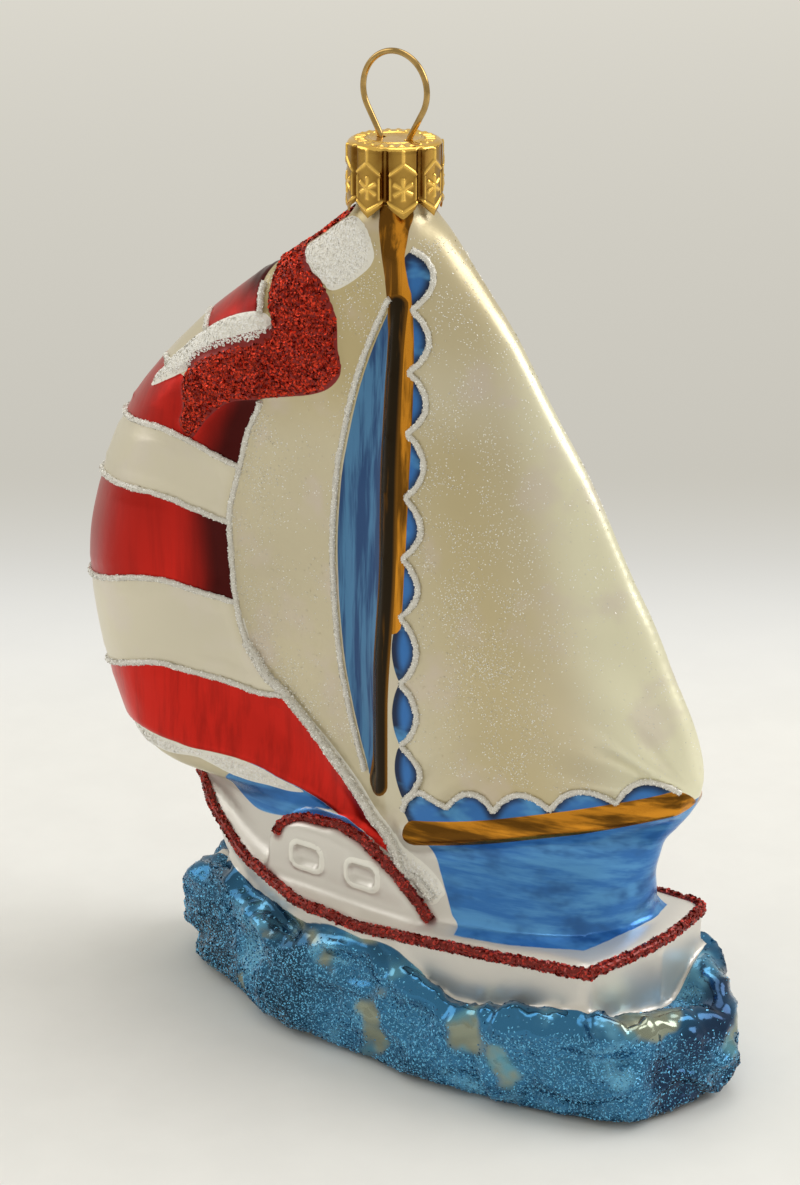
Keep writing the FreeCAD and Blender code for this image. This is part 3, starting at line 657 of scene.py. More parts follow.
def painted_glass(look):
    """Silvered glass under hand-brushed satin lacquers, with painted shade and painted highlights."""
    box = Paintbox("painted_glass")
    soft = box.noise(45.0, 3.0)
    wide = box.noise(18.0, 2.0)
    upward = box.noise(560.0, 4.0, 0.6, (1.0, 1.0, 0.06))
    sideways = box.noise(480.0, 4.0, 0.6, (0.1, 0.3, 1.0))
    daubed = box.noise(230.0, 3.0, 0.6, (0.5, 0.6, 1.0))
    patchy = box.noise(95.0, 3.0, 0.55)

    colour = box.mix(box.range(wide, 0.3, 0.7), tone(look.pearl, 0.9), tone(look.pearl, 1.06))
    # Mustard: partly the lacquer's own tint, partly painted shade in the mainsail's middle.
    colour = box.mix(box.range(box.field("warm_and_shade"), 0.0, 1.0, smooth=False), colour, MUSTARD_AND_SHADE)
    # Painted highlight: ivory on the mainsail's aft part.
    colour = box.mix(box.range(box.field("pale"), 0.0, 1.0, smooth=False), colour, IVORY_HIGHLIGHT)
    colour = box.mix(box.range(patchy, 0.5, 0.7, 0.0, 0.4), colour, MAUVE)
    whiter = box.range(box.field("spinnaker"), -0.5, 2.0, 0.0, 0.4)
    colour = box.mix(whiter, colour, STRIPE_WHITE)
    colour = box.mix(box.range(box.field("low"), -1.5, 1.5), colour, look.cream)
    metal = 0.62
    rough = box.range(soft, 0.3, 0.7, 0.33, 0.41)

    def coat(area, paint, metallic, roughness, edge=0.05):
        nonlocal colour, metal, rough
        share = box.range(box.field(area), -edge, edge)
        colour = box.mix(share, colour, paint)
        metal = box.blend_number(share, metal, metallic)
        rough = box.blend_number(share, rough, roughness)

    red = box.mix(box.range(upward, 0.3, 0.6), tone(look.red, 0.8), tone(look.red, 1.12))
    red = box.mix(box.range(wide, 0.45, 0.75), red, tone(look.red, 0.68))
    # Painted shade: in the hollow beside the luff, above the foot, the red darkens almost to black in
    # soft patches.
    painted_luff_shade = box.math("MULTIPLY", box.range(box.field("luff"), 9.0, 2.5), box.range(soft, 0.3, 0.5))
    coat("red", box.mix(painted_luff_shade, red, tone(look.red, 0.10)), 0.85, 0.33)
    streak = box.mix(box.range(upward, 0.40, 0.60), STRIP_NAVY, STRIP_BLUE)
    coat("strip", streak, 0.4, 0.28)
    # Painted shade: the scallops' blue darkens to navy along their edges, beside the piping.
    lace = box.mix(box.range(box.field("lace"), 0.4, 1.8), LACE_EDGE_SHADE, look.blue)
    coat("lace", box.mix(box.range(daubed, 0.5, 0.7), lace, LACE_BLUE), 0.4, 0.2)
    wash = box.mix(box.range(sideways, 0.36, 0.62), tone(look.blue, 1.05), SKY_BLUE)
    wash = box.mix(box.range(daubed, 0.45, 0.7), wash, tone(look.blue, 0.7))
    coat("blue", wash, 0.5, 0.26, 0.12)
    along = box.blend_number(box.range(box.field("boom"), -1.0, 0.0), upward, sideways)
    gilt = box.mix(box.range(along, 0.4, 0.62), tone(look.gold, 0.35), tone(look.gold, 1.7))
    coat("gold", gilt, 0.95, 0.24)
    # The rod: brown black lacquer with dark gold streaks, brown gold along its edges.
    dark = box.mix(box.range(upward, 0.56, 0.7), look.rod, tone(look.gold, 0.3))
    brown_edged_rod = box.mix(box.range(box.field("rod"), 0.1, 0.6), tone(look.gold, 0.45), dark)
    coat("rod", brown_edged_rod, 0.9, 0.24)
    coat("chalk", CHALK_WHITE, 0.0, 0.6)
    coat("ribbon", tone(look.red, 0.4), 0.3, 0.4)
    coat("trim", box.mix(box.range(soft, 0.4, 0.6), TRIM_RED, look.cream), 0.4, 0.35, 0.7)

    sea = box.mix(box.range(soft, 0.36, 0.60), tone(look.sea, 0.35), WAVE_BLUE)
    sea = box.mix(box.range(patchy, 0.55, 0.7), sea, CREST_BLUE)
    film = box.mix(box.range(box.noise(140.0, 3.0), 0.4, 0.6), FILM_OLIVE, FILM_TEAL)
    sea = box.mix(box.range(box.field("bare"), 0.34, 0.8), sea, film)
    sea = box.mix(box.range(box.field("deep"), 0.0, 1.0), sea, DEEP_NAVY)
    coat("sea", sea, 0.8, 0.16)

    box.surface(Base_Color=colour, Metallic=metal, Roughness=rough, Coat_Weight=0.06,
                Coat_Roughness=0.15, Specular_IOR_Level=0.5)
    box.bump(box.noise(900.0, 2.0), 0.12, 0.00015)
    return box.material


def glitter(name, colour, low, high, metal, rough):
    """Loose glitter: each flake has a tone of its own."""
    box = Paintbox(name)
    tint = box.field("tint")
    paint = box.mix(box.range(tint, 0.0, 1.0, smooth=False), tone(colour, low), tone(colour, high))
    sheen = box.range(tint, 0.0, 1.0, rough * 0.6, rough * 1.4, smooth=False)
    box.surface(Base_Color=paint, Roughness=sheen, Metallic=metal)
    box.bump(box.noise(2600.0, 1.0), 0.3, 0.00008)
    return box.material


def stamped_gold(look):
    """Thin gilt sheet, with painted shade dark in its grooves and a painted highlight bright on its
    ridges.
    """
    box = Paintbox("stamped_gold")
    age = box.noise(420.0, 4.0, 0.6)
    # Painted shade: dark brown in the stamp's grooves; painted highlight: bright gold on its ridges.
    colour = box.mix(box.range(box.field("stamp"), -0.5, 0.7), GROOVE_SHADE_BROWN, RIDGE_HIGHLIGHT_GOLD)
    colour = box.mix(box.range(age, 0.4, 0.7, 0.0, 0.35), colour, tone(look.gold, 0.5))
    box.surface(Base_Color=colour, Roughness=box.range(age, 0.3, 0.7, 0.15, 0.26), Metallic=1.0)
    box.bump(age, 0.15, 0.0001)
    return box.material


def gilt_wire(look):
    """Spring wire with thin gilding, drawn along its length."""
    box = Paintbox("gilt_wire")
    drawn = box.noise(700.0, 3.0, 0.6)
    colour = box.mix(box.range(drawn, 0.35, 0.65), tone(look.wire, 0.85), tone(look.wire, 1.1))
    box.surface(Base_Color=colour, Roughness=box.range(drawn, 0.3, 0.7, 0.14, 0.22), Metallic=1.0)
    box.bump(drawn, 0.1, 0.00005)
    return box.material


def paper(look):
    """Matt pale paper that turns, farther back, into a painted glowing backdrop with painted shade."""
    box = Paintbox("paper_and_painted_backdrop")
    fibre = box.noise(60.0, 4.0, 0.6)
    tint = box.mix(box.range(fibre, 0.3, 0.7), tone(look.floor, 0.985), tone(look.floor, 1.015))
    box.surface(Base_Color=tint, Roughness=0.7, Specular_IOR_Level=0.2)
    place = box.node("ShaderNodeTexCoord").outputs["Object"]
    apart = box.node("ShaderNodeSeparateXYZ", {0: place})
    turn = math.radians(look.azimuth)
    behind = box.math("ADD", box.math("MULTIPLY", apart.outputs["X"], -math.sin(turn)),
                      box.math("MULTIPLY", apart.outputs["Y"], math.cos(turn)))
    # Painted shade: the backdrop darkens from the floor's tone, then lightens farther back.
    shade = box.mix(box.range(behind, 0.12, 0.27), tone(look.floor, 1.04), look.backdrop)
    shade = box.mix(box.range(behind, 0.27, 0.95, smooth=False), shade, tone(look.backdrop, 1.2))
    # The painted backdrop glows, though it is no lamp, for camera, glossy and transmission rays.
    painted_backdrop_glow = box.node("ShaderNodeEmission", {"Color": shade})
    path = box.node("ShaderNodeLightPath")
    seen = box.math("MAXIMUM", path.outputs["Is Camera Ray"], path.outputs["Is Glossy Ray"])
    seen = box.math("MAXIMUM", seen, path.outputs["Is Transmission Ray"])
    share = box.math("MULTIPLY", seen, box.range(behind, 0.09, 0.21))
    blend = box.node("ShaderNodeMixShader", {0: share, 1: box.shader.outputs[0], 2: painted_backdrop_glow.outputs[0]})
    box.feed(blend.outputs[0], box.tree.nodes["Material Output"].inputs["Surface"])
    return box.material


# Glitter, with Geometry Nodes

class Weave(NodeTree):
    """Builds one Geometry Nodes tree, with the inputs that all glitter has."""

    def __init__(self, name):
        self.tree = bpy.data.node_groups.new(name, "GeometryNodeTree")
        self.inputs = {}
        self.socket("Geometry", "NodeSocketGeometry")
        self.tree.interface.new_socket("Geometry", in_out="OUTPUT", socket_type="NodeSocketGeometry")
        self.start = self.tree.nodes.new("NodeGroupInput")
        self.end = self.tree.nodes.new("NodeGroupOutput")
        self.socket("Flake radius", "NodeSocketFloat", 0.0002)
        self.socket("Flakes per area", "NodeSocketFloat", 5e6)
        self.socket("Tilt", "NodeSocketFloat", 0.5)
        self.socket("Seed", "NodeSocketInt", 1)
        self.socket("Material", "NodeSocketMaterial")

    def socket(self, name, kind, value=None):
        made = self.tree.interface.new_socket(name, in_out="INPUT", socket_type=kind)
        if value is not None:
            made.default_value = value
        self.inputs[name] = made.identifier

    def given(self, name):
        return self.start.outputs[name]


def scatter(weave, surface, flakes_on):
    """Scatters six-sided flakes over a surface and gives each one a tint of its own."""
    seed, tilt = weave.given("Seed"), weave.given("Tilt")
    cast = weave.node("GeometryNodeDistributePointsOnFaces", {
        "Mesh": surface, "Density": flakes_on, "Seed": seed})
    disc = weave.node("GeometryNodeMeshCircle", {
        "Vertices": 6, "Radius": weave.given("Flake radius")}, fill_type="NGON")
    lean = weave.node("FunctionNodeRandomValue", {
        0: (-1.0, -1.0, -3.2), 1: (1.0, 1.0, 3.2), "Seed": seed}, data_type="FLOAT_VECTOR")
    stretch = weave.node("ShaderNodeCombineXYZ", {"X": tilt, "Y": tilt, "Z": 1.0})
    tilted = weave.node("ShaderNodeVectorMath", {0: lean.outputs[0], 1: stretch.outputs[0]},
                        operation="MULTIPLY")
    euler = weave.node("FunctionNodeEulerToRotation", {0: tilted.outputs[0]})
    turned = weave.node("FunctionNodeRotateRotation", {
        "Rotation": cast.outputs["Rotation"], "Rotate By": euler.outputs[0]}, rotation_space="LOCAL")
    grade = weave.node("FunctionNodeRandomValue", {2: 0.6, 3: 1.25, "Seed": seed}, data_type="FLOAT")
    lay = weave.node("GeometryNodeInstanceOnPoints", {
        "Points": cast.outputs["Points"], "Instance": disc.outputs["Mesh"],
        "Rotation": turned.outputs[0], "Scale": grade.outputs[1]})
    shade = weave.node("FunctionNodeRandomValue", data_type="FLOAT")
    tinted = weave.node("GeometryNodeStoreNamedAttribute", {
        "Geometry": lay.outputs["Instances"], "Name": "tint", "Value": shade.outputs[1],
    }, data_type="FLOAT", domain="INSTANCE")
    return tinted.outputs["Geometry"]


def finish_weave(weave, parts):
    """Joins the parts, makes them real and gives them the piece's material."""
    join = weave.node("GeometryNodeJoinGeometry")
    for part in parts:
        weave.feed(part, join.inputs[0])
    real = weave.node("GeometryNodeRealizeInstances", {"Geometry": join.outputs[0]})
    paint = weave.node("GeometryNodeSetMaterial", {
        "Geometry": real.outputs["Geometry"], "Material": weave.given("Material")})
    weave.feed(paint.outputs["Geometry"], weave.end.inputs["Geometry"])
    return weave


def piping_weave():
    """A bead of glue along paths, covered with glitter."""
    weave = Weave("Glitter piping")
    weave.socket("Bead radius", "NodeSocketFloat", 0.0006)
    radius = weave.given("Bead radius")
    curve = weave.node("GeometryNodeMeshToCurve", {"Mesh": weave.given("Geometry")})
    ring = weave.node("GeometryNodeCurvePrimitiveCircle", {"Resolution": 8, "Radius": radius})
    bead = weave.node("GeometryNodeCurveToMesh", {
        "Curve": curve.outputs["Curve"], "Profile Curve": ring.outputs["Curve"], "Fill Caps": True})
    uneven = weave.node("ShaderNodeTexNoise", {"Scale": 900.0, "Detail": 2.0})
    middle = weave.node("ShaderNodeMath", {0: uneven.outputs[0], 1: 0.5}, operation="SUBTRACT")
    depth = weave.node("ShaderNodeMath", {0: middle.outputs[0], 1: radius}, operation="MULTIPLY")
    facing = weave.node("GeometryNodeInputNormal")
    push = weave.node("ShaderNodeVectorMath", {0: facing.outputs[0], "Scale": depth.outputs[0]},
                      operation="SCALE")
    lumpy = weave.node("GeometryNodeSetPosition", {
        "Geometry": bead.outputs["Mesh"], "Offset": push.outputs[0]})
    flakes = scatter(weave, lumpy.outputs["Geometry"], weave.given("Flakes per area"))
    return finish_weave(weave, [lumpy.outputs["Geometry"], flakes])


def coat_weave():
    """A coat of loose glitter on a painted area, thick where the area's coat value is high."""
    weave = Weave("Glitter coat")
    coat = weave.node("GeometryNodeInputNamedAttribute", {"Name": "coat"}, data_type="FLOAT")
    amount = weave.node("ShaderNodeMath", {0: coat.outputs[0], 1: weave.given("Flakes per area")},
                        operation="MULTIPLY")
    return finish_weave(weave, [scatter(weave, weave.given("Geometry"), amount.outputs[0])])


def woven(mesh, weave, name, **settings):
    """Runs a tree on a mesh and keeps the result as a plain piece."""
    carrier = shown(name + "_path", mesh)
    nodes = carrier.modifiers.new("Nodes", "NODES")
    nodes.node_group = weave.tree
    for key, value in settings.items():
        nodes[weave.inputs[key.replace("_", " ")]] = value
    result = plain_copy(carrier, name)
    bpy.data.objects.remove(carrier)
    return add_piece(result, name)


# Lines on the surface

class Surface:
    """The finished glass, for laying lines on it."""

    def __init__(self, mesh):
        self.tree = BVHTree.FromPolygons([v.co[:] for v in mesh.vertices],
                                         [p.vertices[:] for p in mesh.polygons])

    def hit(self, start, direction):
        """Where a ray meets the glass and how it faces there, or nothing."""
        point, normal = self.tree.ray_cast(start, Vector(direction))[:2]
        return (point, normal) if point is not None else None

    def from_side(self, x, z, side):
        """The point on the port (-1) or starboard (1) face, as seen from that side."""
        return self.hit(Vector((x * MM, side * 0.08, z * MM)), (0, -side, 0))

    def outward(self, x, y, z, direction):
        """The place where a ray from inside leaves the glass."""
        return self.hit(Vector((x, y, z)) * MM, direction)

    def nearest(self, place, rise=0.2):
        """The place on the glass closest to another, and a little way off it."""
        point, normal = self.tree.find_nearest(Vector(place) * MM)[:2]
        return point + normal * rise * MM

    def lay(self, path, side, rise=0.15, step=0.5):
        """A path in side view, laid on one face at even steps."""
        found = []
        for x, z in even_steps(np.array(path, float), step):
            hit = self.from_side(x, z, side)
            if hit:
                point, normal = hit
                if normal.y * side < 0:
                    normal = -normal
                found.append(point + normal * rise * MM)
        return settled(found)


def off_pennant(line):
    """The parts of a laid line that the pennant doesn't cover."""
    x, z = line[:, 0] / MM, line[:, 2] / MM
    cover = np.maximum.reduce([within(x, z, smoothed(outline, True, 3)) for outline in
                               (PENNANT_CLOTH, PENNANT_RIBBON, PENNANT_TAIL)])
    cover = np.maximum(cover, 1.25 - from_path(x, z, smoothed(PENNANT_EDGE)))
    parts, run = [], []
    for point, hidden in zip(line, cover > 0.1):
        if not hidden:
            run.append(point)
        elif run:
            parts.append(np.array(run))
            run = []
    if run:
        parts.append(np.array(run))
    return [part for part in parts if len(part) > 5]


def even_steps(path, step):
    """The same path with points at even steps."""
    spans = np.linalg.norm(np.diff(path, axis=0), axis=1)
    along = np.concatenate([[0.0], np.cumsum(spans)])
    count = max(2, int(along[-1] / step))
    at = np.linspace(0.0, along[-1], count)
    return np.stack([np.interp(at, along, path[:, k]) for k in range(path.shape[1])], 1)


def settled(points, rounds=2):
    """Points eased into a flowing line, with their ends kept."""
    line = np.array([p[:] for p in points])
    for _ in range(rounds):
        if len(line) > 4:
            line[1:-1] = 0.5 * line[1:-1] + 0.25 * (line[:-2] + line[2:])
    return line


def lines_mesh(lines, name):
    """Several lines as one mesh of edges."""
    verts, edges = [], []
    for line in lines:
        if len(line) < 2:
            continue
        start = len(verts)
        verts += [tuple(p) for p in line]
        edges += [(start + k, start + k + 1) for k in range(len(line) - 1)]
    mesh = bpy.data.meshes.new(name)
    mesh.from_pydata(verts, edges, [])
    return mesh


def round_the_nose(surface, path, inner, rise=0.15):
    """A band's edge from one face of the spinnaker to the other, round its nose."""
    path = smoothed(path)
    found = []
    for k in range(121):
        turn = math.pi * (0.5 + k / 120.0)
        z = float(read(path, inner))
        for _ in range(4):
            hit = surface.outward(inner, 0.0, z, (math.cos(turn), -math.sin(turn), 0.0))
            if hit is None:
                break
            z = float(read(path, hit[0].x / MM))
        if hit:
            found.append(hit[0] + hit[1].normalized() * rise * MM)
    return settled(even_steps(np.array([p[:] for p in found]), 0.5 * MM))


def patch(mesh, values, name, coat=None):
    """The part of the glass where values are above nought, for a coat of glitter."""
    form = opened(mesh)
    layer = form.verts.layers.float.new("coat")
    form.verts.ensure_lookup_table()
    gone = [v for v in form.verts if values[v.index] < 0.0]
    for vertex in form.verts:
        vertex[layer] = 1.0 if coat is None else float(coat[vertex.index])
    bmesh.ops.delete(form, geom=gone, context="VERTS")
    return closed(form, name)


# What the glass operator leaves for the glitter operators
WORK = {}


# Operators

class SAILBOAT_OT_glass(bpy.types.Operator):
    """Makes the painted glass body over the frame's glass node"""
    bl_idname = "sailboat.glass"
    bl_label = "Painted glass"

    def execute(self, context):
        look = context.scene.sailboat_glass
        mesh = remeshed(outer_skin(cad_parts["glass_body"]), "glass_boat", look.cell)
        polished(mesh, look.polish)
        smooth = places(mesh)
        x, _, z = smooth.T
        beads = np.minimum.reduce([from_path(x, z, smoothed(p)) for p in [LUFF] + BAND_EDGES[:4]])
        ironed(mesh, (beads < 2.3) & (z > 36.5) & (x < 4.5), 70)
        points = places(mesh)
        fields = paint_places(points)
        points = points + facings(mesh) * relief(points, fields, look)[:, None]
        points[:, 2] = np.maximum(points[:, 2], 0.02)
        mouth = ease((4.2 - np.hypot(x, points[:, 1])) / 0.8) * ease((z - 138.4) / 0.6)
        points[:, 2] -= 3.0 * mouth
        put_places(mesh, points)
        add_shades(smooth, points, fields)
        for name in PAINT_FIELDS:
            keep_field(mesh, name, np.clip(fields[name], -8.0, 8.0))
        boat = add_piece(mesh, "glass_boat", painted_glass(look))
        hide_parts("glass_body")
        WORK.update(mesh=mesh, fields=fields, points=points, surface=Surface(mesh))
        return {"FINISHED"}


class SAILBOAT_OT_piping(bpy.types.Operator):
    """Lays the white glitter piping along the sails' edges and the scallops"""
    bl_idname = "sailboat.piping"
    bl_label = "White piping"

    def execute(self, context):
        look = context.scene.sailboat_glitter
        surface = WORK["surface"]
        weave = piping_weave()
        material = glitter("white_glitter", look.white, 0.85, 1.3, 0.1, 0.42)
        lines = {-1: [], 1: []}
        for path in BAND_EDGES[:4]:
            whole = round_the_nose(surface, path, path[-1][0])
            half = len(whole) // 2
            lines[-1].append(whole[:half + 1])
            lines[1].append(whole[half:])
        for side in (-1, 1):
            for path in BAND_EDGES[4:] + [LUFF, STRIP_EDGE]:
                lines[side] += off_pennant(surface.lay(smoothed(path), side))
            mast_lace = arcs(LACE_MAST, MAST_SCALLOP, -1)
            lines[side].append(surface.lay(mast_lace[mast_lace[:, 1] < 125.0 - 1.5 * side], side))
            lines[side].append(surface.lay(arcs(LACE_BOOM, BOOM_SCALLOP, -1), side))
            name = "white_piping_" + ("port" if side < 0 else "starboard")
            woven(lines_mesh(lines[side], name), weave, name,
                  Bead_radius=look.piping, Flake_radius=look.grain, Flakes_per_area=7.5e6,
                  Tilt=0.8, Seed=look.seed + side, Material=material)
        low = [surface.lay(smoothed(LUFF[10:]), side, 0.05) for side in (-1, 1)]
        woven(lines_mesh(low, "luff_foot"), weave, "luff_foot_glitter",
              Bead_radius=look.piping * 1.6, Flake_radius=look.grain * 1.3, Flakes_per_area=9e6,
              Tilt=1.2, Seed=look.seed + 9, Material=material)
        WORK["white"] = material
        return {"FINISHED"}


class SAILBOAT_OT_red_lines(bpy.types.Operator):
    """Lays the red glitter along the sheer, round the transom and over the cabin"""
    bl_idname = "sailboat.red_lines"
    bl_label = "Red glitter lines"

    def execute(self, context):
        look = context.scene.sailboat_glitter
        surface = WORK["surface"]
        weave = piping_weave()
        material = glitter("red_glitter", look.scarlet, 0.55, 1.8, 0.4, 0.34)

        def rail(side, *ends):
            return [(x, side * float(read(HULL_STATIONS, x))) for x in np.linspace(*ends, 120)]

        stern = np.linspace(-STERN_HALF_WIDTH, STERN_HALF_WIDTH, 40)[1:-1]
        outline = rail(-1, -38.6, 46.0) + [(transom(y, 46.2), y) for y in stern] + rail(1, 46.0, -38.6)
        sheer = [surface.nearest((x, y, float(read(SHEER, x)) - 0.15))
                 for x, y in even_steps(np.array(outline), 0.5)]
        lines = [settled(sheer, 4)]
        for side in (-1, 1):
            lines.append(settled([surface.nearest(place * (1.0, side, 1.0))
                                  for place in even_steps(smoothed(CABIN_LINE), 0.5)]))
        woven(lines_mesh(lines, "red_lines"), weave, "red_glitter_lines",
              Bead_radius=look.red_line, Flake_radius=look.flake, Flakes_per_area=5.5e6,
              Tilt=0.9, Seed=look.seed, Material=material)
        return {"FINISHED"}


class SAILBOAT_OT_pennant(bpy.types.Operator):
    """Coats the pennant in white and red glitter"""
    bl_idname = "sailboat.pennant"
    bl_label = "Pennant glitter"

    def execute(self, context):
        look = context.scene.sailboat_glitter
        weave = coat_weave()
        fields = WORK["fields"]
        white = fields["chalk"]
        red = np.minimum(fields["ribbon"], -white)
        ruby = glitter("ruby_glitter", RUBY, 0.35, 2.6, 0.9, 0.26)
        woven(patch(WORK["mesh"], red, "ribbon"), weave, "pennant_red_glitter",
              Flake_radius=look.flake * 0.9, Flakes_per_area=1.5e7, Tilt=0.8, Seed=look.seed,
              Material=ruby)
        bright = glitter("bright_glitter", tone(look.white, 1.12), 0.92, 1.2, 0.0, 0.45)
        woven(patch(WORK["mesh"], white - 0.15, "cloth"), weave, "pennant_white_glitter",
              Flake_radius=look.grain * 1.2, Flakes_per_area=2.4e7, Tilt=0.6, Seed=look.seed + 3,
              Material=bright)
        return {"FINISHED"}


class SAILBOAT_OT_sea_glitter(bpy.types.Operator):
    """Coats the waves in blue glitter and dusts the sails"""
    bl_idname = "sailboat.sea_glitter"
    bl_label = "Sea glitter"

    def execute(self, context):
        look = context.scene.sailboat_glitter
        weave = coat_weave()
        fields, points = WORK["fields"], WORK["points"]
        material = glitter("blue_glitter", look.azure, 0.7, 3.0, 0.25, 0.34)
        bare = ease((fields["bare"] - 0.42) / 0.2)
        wet = ease((points[:, 2] - read(CREST, points[:, 0]) + 3.4) / 1.6)
        coat = (1.0 - bare) * (1.0 - 0.92 * wet) * (1.0 - 0.55 * ease(fields["deep"]))
        area = np.minimum(fields["sea"], points[:, 2] - 0.6)
        woven(patch(WORK["mesh"], area, "sea", coat), weave, "sea_glitter",
              Flake_radius=look.grain * 1.15, Flakes_per_area=8.5e6, Tilt=0.55, Seed=look.seed,
              Material=material)
        x, z = points[:, 0], points[:, 2]
        luff = np.exp(-from_path(x, z, smoothed(LUFF)) / 3.5) * (x < 4.0)
        band = np.exp(-(((x - 19.0) + 0.3 * (z - 70.0)) / 10.0) ** 2)
        dust = (1.5 * luff + 0.8 * band + 0.15) * (0.55 + 0.8 * clouds(points, 4.0, 12)) + 0.02
        dust = np.maximum(dust, 0.02)
        jib = np.minimum(-fields["spinnaker"], -fields["strip"])
        sails = np.minimum.reduce([jib, -fields["rod"] - 0.5, -fields["gold"] - 0.3, -fields["lace"],
                                   -fields["ribbon"] - 0.3, -fields["chalk"], points[:, 2] - 46.0])
        sails = np.minimum(sails, 127.0 - points[:, 2])
        woven(patch(WORK["mesh"], sails, "dust", dust), weave, "sail_sparkle",
              Flake_radius=look.grain * 0.8, Flakes_per_area=6.5e6, Tilt=0.7, Seed=look.seed + 5,
              Material=WORK["white"])
        return {"FINISHED"}


class SAILBOAT_OT_cap(bpy.types.Operator):
    """Makes the stamped cap with its embossed panels, and gilds the wire"""
    bl_idname = "sailboat.cap"
    bl_label = "Stamped cap and wire"

    def execute(self, context):
        look = context.scene.sailboat_metal
        sheet = closed(opened(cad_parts["cap"].data, 1e-6), "cap_sheet")
        mesh = remeshed(sheet, "stamped_cap", look.cell)
        polished(mesh, 2, 0.9)
        points, normals = places(mesh), facings(mesh)
        height = stamp_height(points)
        reach = np.hypot(points[:, 0], points[:, 1])
        outward = normals[:, 0] * points[:, 0] + normals[:, 1] * points[:, 1] > 0
        wall = outward & (reach > 5.9) & (points[:, 2] < 139.6)
        crown = (normals[:, 2] > 0.3) & (points[:, 2] > 139.5)
        lift = np.where(wall | crown, height, 0.0) * look.stamp
        put_places(mesh, points + normals * lift[:, None])
        # The stamp value steers the painted shade in the grooves and the painted highlight on the
        # ridges.
        tint = np.where(crown, 0.45 + 0.5 * height, np.where(wall, height, 0.2))
        keep_field(mesh, "stamp", tint)
        cap = add_piece(mesh, "stamped_cap", stamped_gold(look))
        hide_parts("cap")
        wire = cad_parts["hanger"]
        wire.data.materials.clear()
        wire.data.materials.append(gilt_wire(look))
        return {"FINISHED"}


def stamp_height(points):
    """The cap's stamped pattern: on each panel a gable, a six-armed star and a lower chevron."""
    x, y, z = points.T
    reach = np.hypot(x, y)
    turn = np.arctan2(y, x) * 8.0 / (2.0 * math.pi)
    share = (turn - np.round(turn)) * 2.0 * math.pi * 7.0 / 8.0
    up = z - 129.4

    def line(distance, width=0.24):
        return np.exp(-(distance / width) ** 2)

    wide = np.abs(share)
    gable = line(np.abs(up - (8.2 - 0.75 * wide))) * ease((2.3 - wide) / 0.3)
    ridge = line(wide, 0.18) * ease((up - 8.0) / 0.3)
    upright = line(np.abs(wide - 1.95), 0.16) * ease((up - 2.7) / 0.4) * ease((6.4 - up) / 0.4)
    chevron = line(np.abs(up - (1.15 + 0.62 * np.abs(share))))
    star = np.zeros(len(x))
    for k in range(3):
        angle = math.pi * (k / 3.0 + 0.5)
        along = share * math.cos(angle) + (up - 4.5) * math.sin(angle)
        beside = -share * math.sin(angle) + (up - 4.5) * math.cos(angle)
        arm = 0.18 + 0.05 * np.abs(along)
        star = np.maximum(star, np.exp(-(beside / arm) ** 2) * ease((1.8 - np.abs(along)) / 0.3))
    wall = np.maximum.reduce([gable, ridge, upright * 0.7, chevron, star])
    wall -= 0.35 * (wide / 2.3) ** 2 + 0.8 * np.exp(-((2.75 - wide) / 0.28) ** 2)
    ring = line(np.abs(reach - 3.9), 0.3) * 0.8
    fan = 0.9 * (0.5 + 0.5 * np.cos(np.arctan2(y, x) * 24.0)) * ease((reach - 4.2) / 0.4) * ease(
        (6.2 - reach) / 0.4)
    dish = -0.3 * ease((3.6 - reach) / 2.0)
    top = np.maximum(ring, fan) + dish
    return np.where(z > 139.5, top, wall)


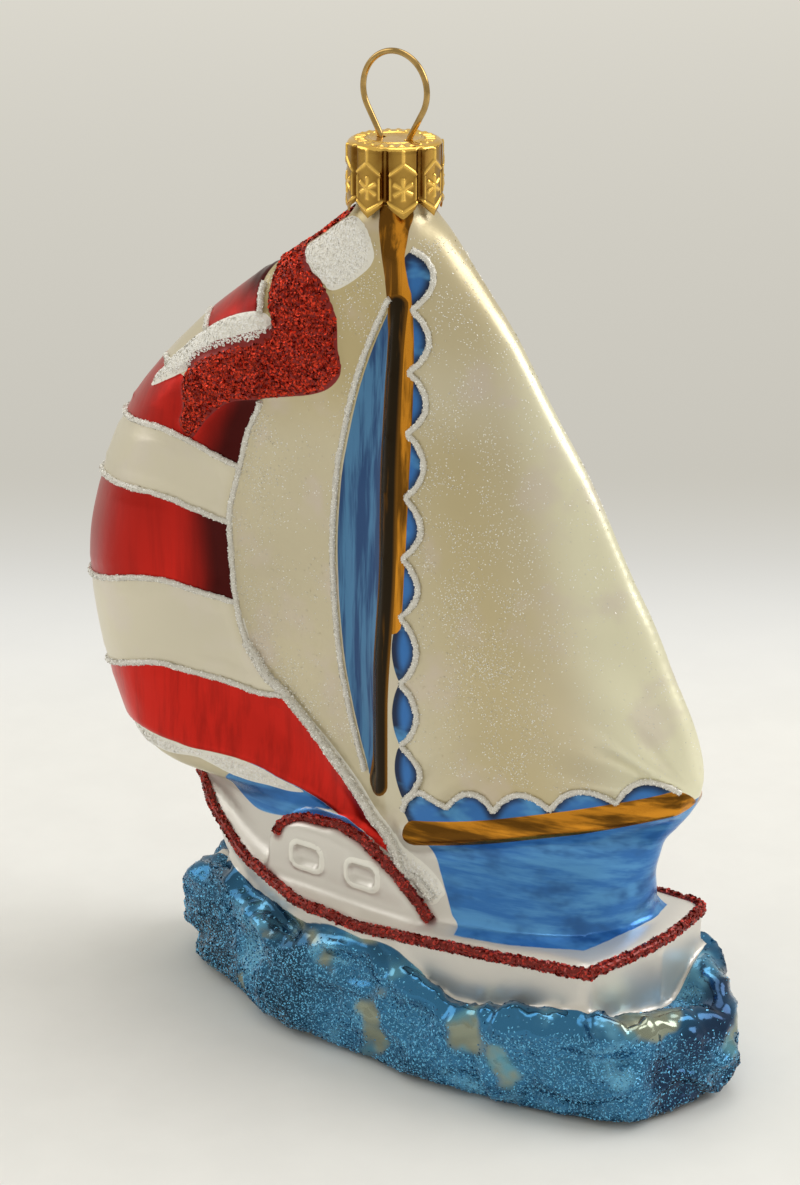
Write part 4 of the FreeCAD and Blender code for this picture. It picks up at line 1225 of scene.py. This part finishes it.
class SAILBOAT_OT_stage(bpy.types.Operator):
    """Sets the pale paper with its painted glowing backdrop, the soft lights and the camera"""
    bl_idname = "sailboat.stage"
    bl_label = "Stage"

    def execute(self, context):
        look = context.scene.sailboat_stage
        form = bmesh.new()
        bmesh.ops.create_circle(form, cap_ends=True, segments=96, radius=2.4)
        floor = shown("floor", closed(form, "floor"))
        floor.data.materials.append(paper(look))
        world = bpy.data.worlds.new("studio")
        world.use_nodes = True
        context.scene.world = world
        back = world.node_tree.nodes["Background"]
        back.inputs["Color"].default_value = (*tone(look.backdrop, 1.1), 1.0)
        back.inputs["Strength"].default_value = 1.0
        self.lamp("left", (-0.70, -0.25, 0.55), (0.0, 0.0, 0.08), 0.6, 1.3)
        self.lamp("right", (0.60, 0.45, 0.62), (0.0, 0.0, 0.07), 0.6, 3.6)
        self.lamp("above", (-0.05, 0.25, 1.0), (0.0, 0.0, 0.08), 0.7, 2.4)
        self.camera(context.scene, look)
        context.scene.view_settings.view_transform = "Standard"
        return {"FINISHED"}

    def lamp(self, name, place, target, size, power):
        light = bpy.data.lights.new(name, "AREA")
        light.shape = "DISK"
        light.size = size
        light.energy = power
        lamp = shown(name, light)
        lamp.location = place
        lamp.rotation_euler = (Vector(target) - Vector(place)).to_track_quat("-Z", "Y").to_euler()

    def camera(self, scene, look):
        lens = bpy.data.cameras.new("camera")
        lens.sensor_width = 36.0
        lens.lens = 36.0 * 2900.0 / 1185.0
        lens.clip_start = 0.01
        camera = shown("camera", lens)
        turn, down = math.radians(look.azimuth), math.radians(look.pitch)
        ahead = Vector((-math.sin(turn) * math.cos(down), math.cos(turn) * math.cos(down),
                        -math.sin(down)))
        camera.location = (0.238905, -0.339906, 0.229)
        camera.rotation_euler = ahead.to_track_quat("-Z", "Y").to_euler()
        scene.camera = camera


class SAILBOAT_PT_panel(bpy.types.Panel):
    """The ornament's pieces and settings"""
    bl_idname = "SAILBOAT_PT_panel"
    bl_label = "Blown glass sailboat"
    bl_space_type = "VIEW_3D"
    bl_region_type = "UI"
    bl_category = "Sailboat"

    def draw(self, context):
        for operator, group in PIECES:
            column = self.layout.column()
            column.operator(operator.bl_idname)
            settings = getattr(context.scene, group)
            for key in settings.bl_rna.properties.keys():
                if key not in ("rna_type", "name"):
                    column.prop(settings, key)


GROUPS = {
    "sailboat_glass": GlassSettings,
    "sailboat_glitter": GlitterSettings,
    "sailboat_metal": MetalSettings,
    "sailboat_stage": StageSettings,
}
PIECES = [
    (SAILBOAT_OT_glass, "sailboat_glass"),
    (SAILBOAT_OT_piping, "sailboat_glitter"),
    (SAILBOAT_OT_red_lines, "sailboat_glitter"),
    (SAILBOAT_OT_pennant, "sailboat_glitter"),
    (SAILBOAT_OT_sea_glitter, "sailboat_glitter"),
    (SAILBOAT_OT_cap, "sailboat_metal"),
    (SAILBOAT_OT_stage, "sailboat_stage"),
]


def register():
    for group in GROUPS.values():
        bpy.utils.register_class(group)
    for operator, _ in PIECES:
        bpy.utils.register_class(operator)
    bpy.utils.register_class(SAILBOAT_PT_panel)
    for name, group in GROUPS.items():
        setattr(bpy.types.Scene, name, PointerProperty(type=group))


def unregister():
    for name in GROUPS:
        delattr(bpy.types.Scene, name)
    bpy.utils.unregister_class(SAILBOAT_PT_panel)
    for operator, _ in reversed(PIECES):
        bpy.utils.unregister_class(operator)
    for group in reversed(list(GROUPS.values())):
        bpy.utils.unregister_class(group)


def main():
    register()
    for operator, _ in PIECES:
        family, _, name = operator.bl_idname.partition(".")
        getattr(getattr(bpy.ops, family), name)()
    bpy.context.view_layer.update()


if __name__ == "__main__":
    main()
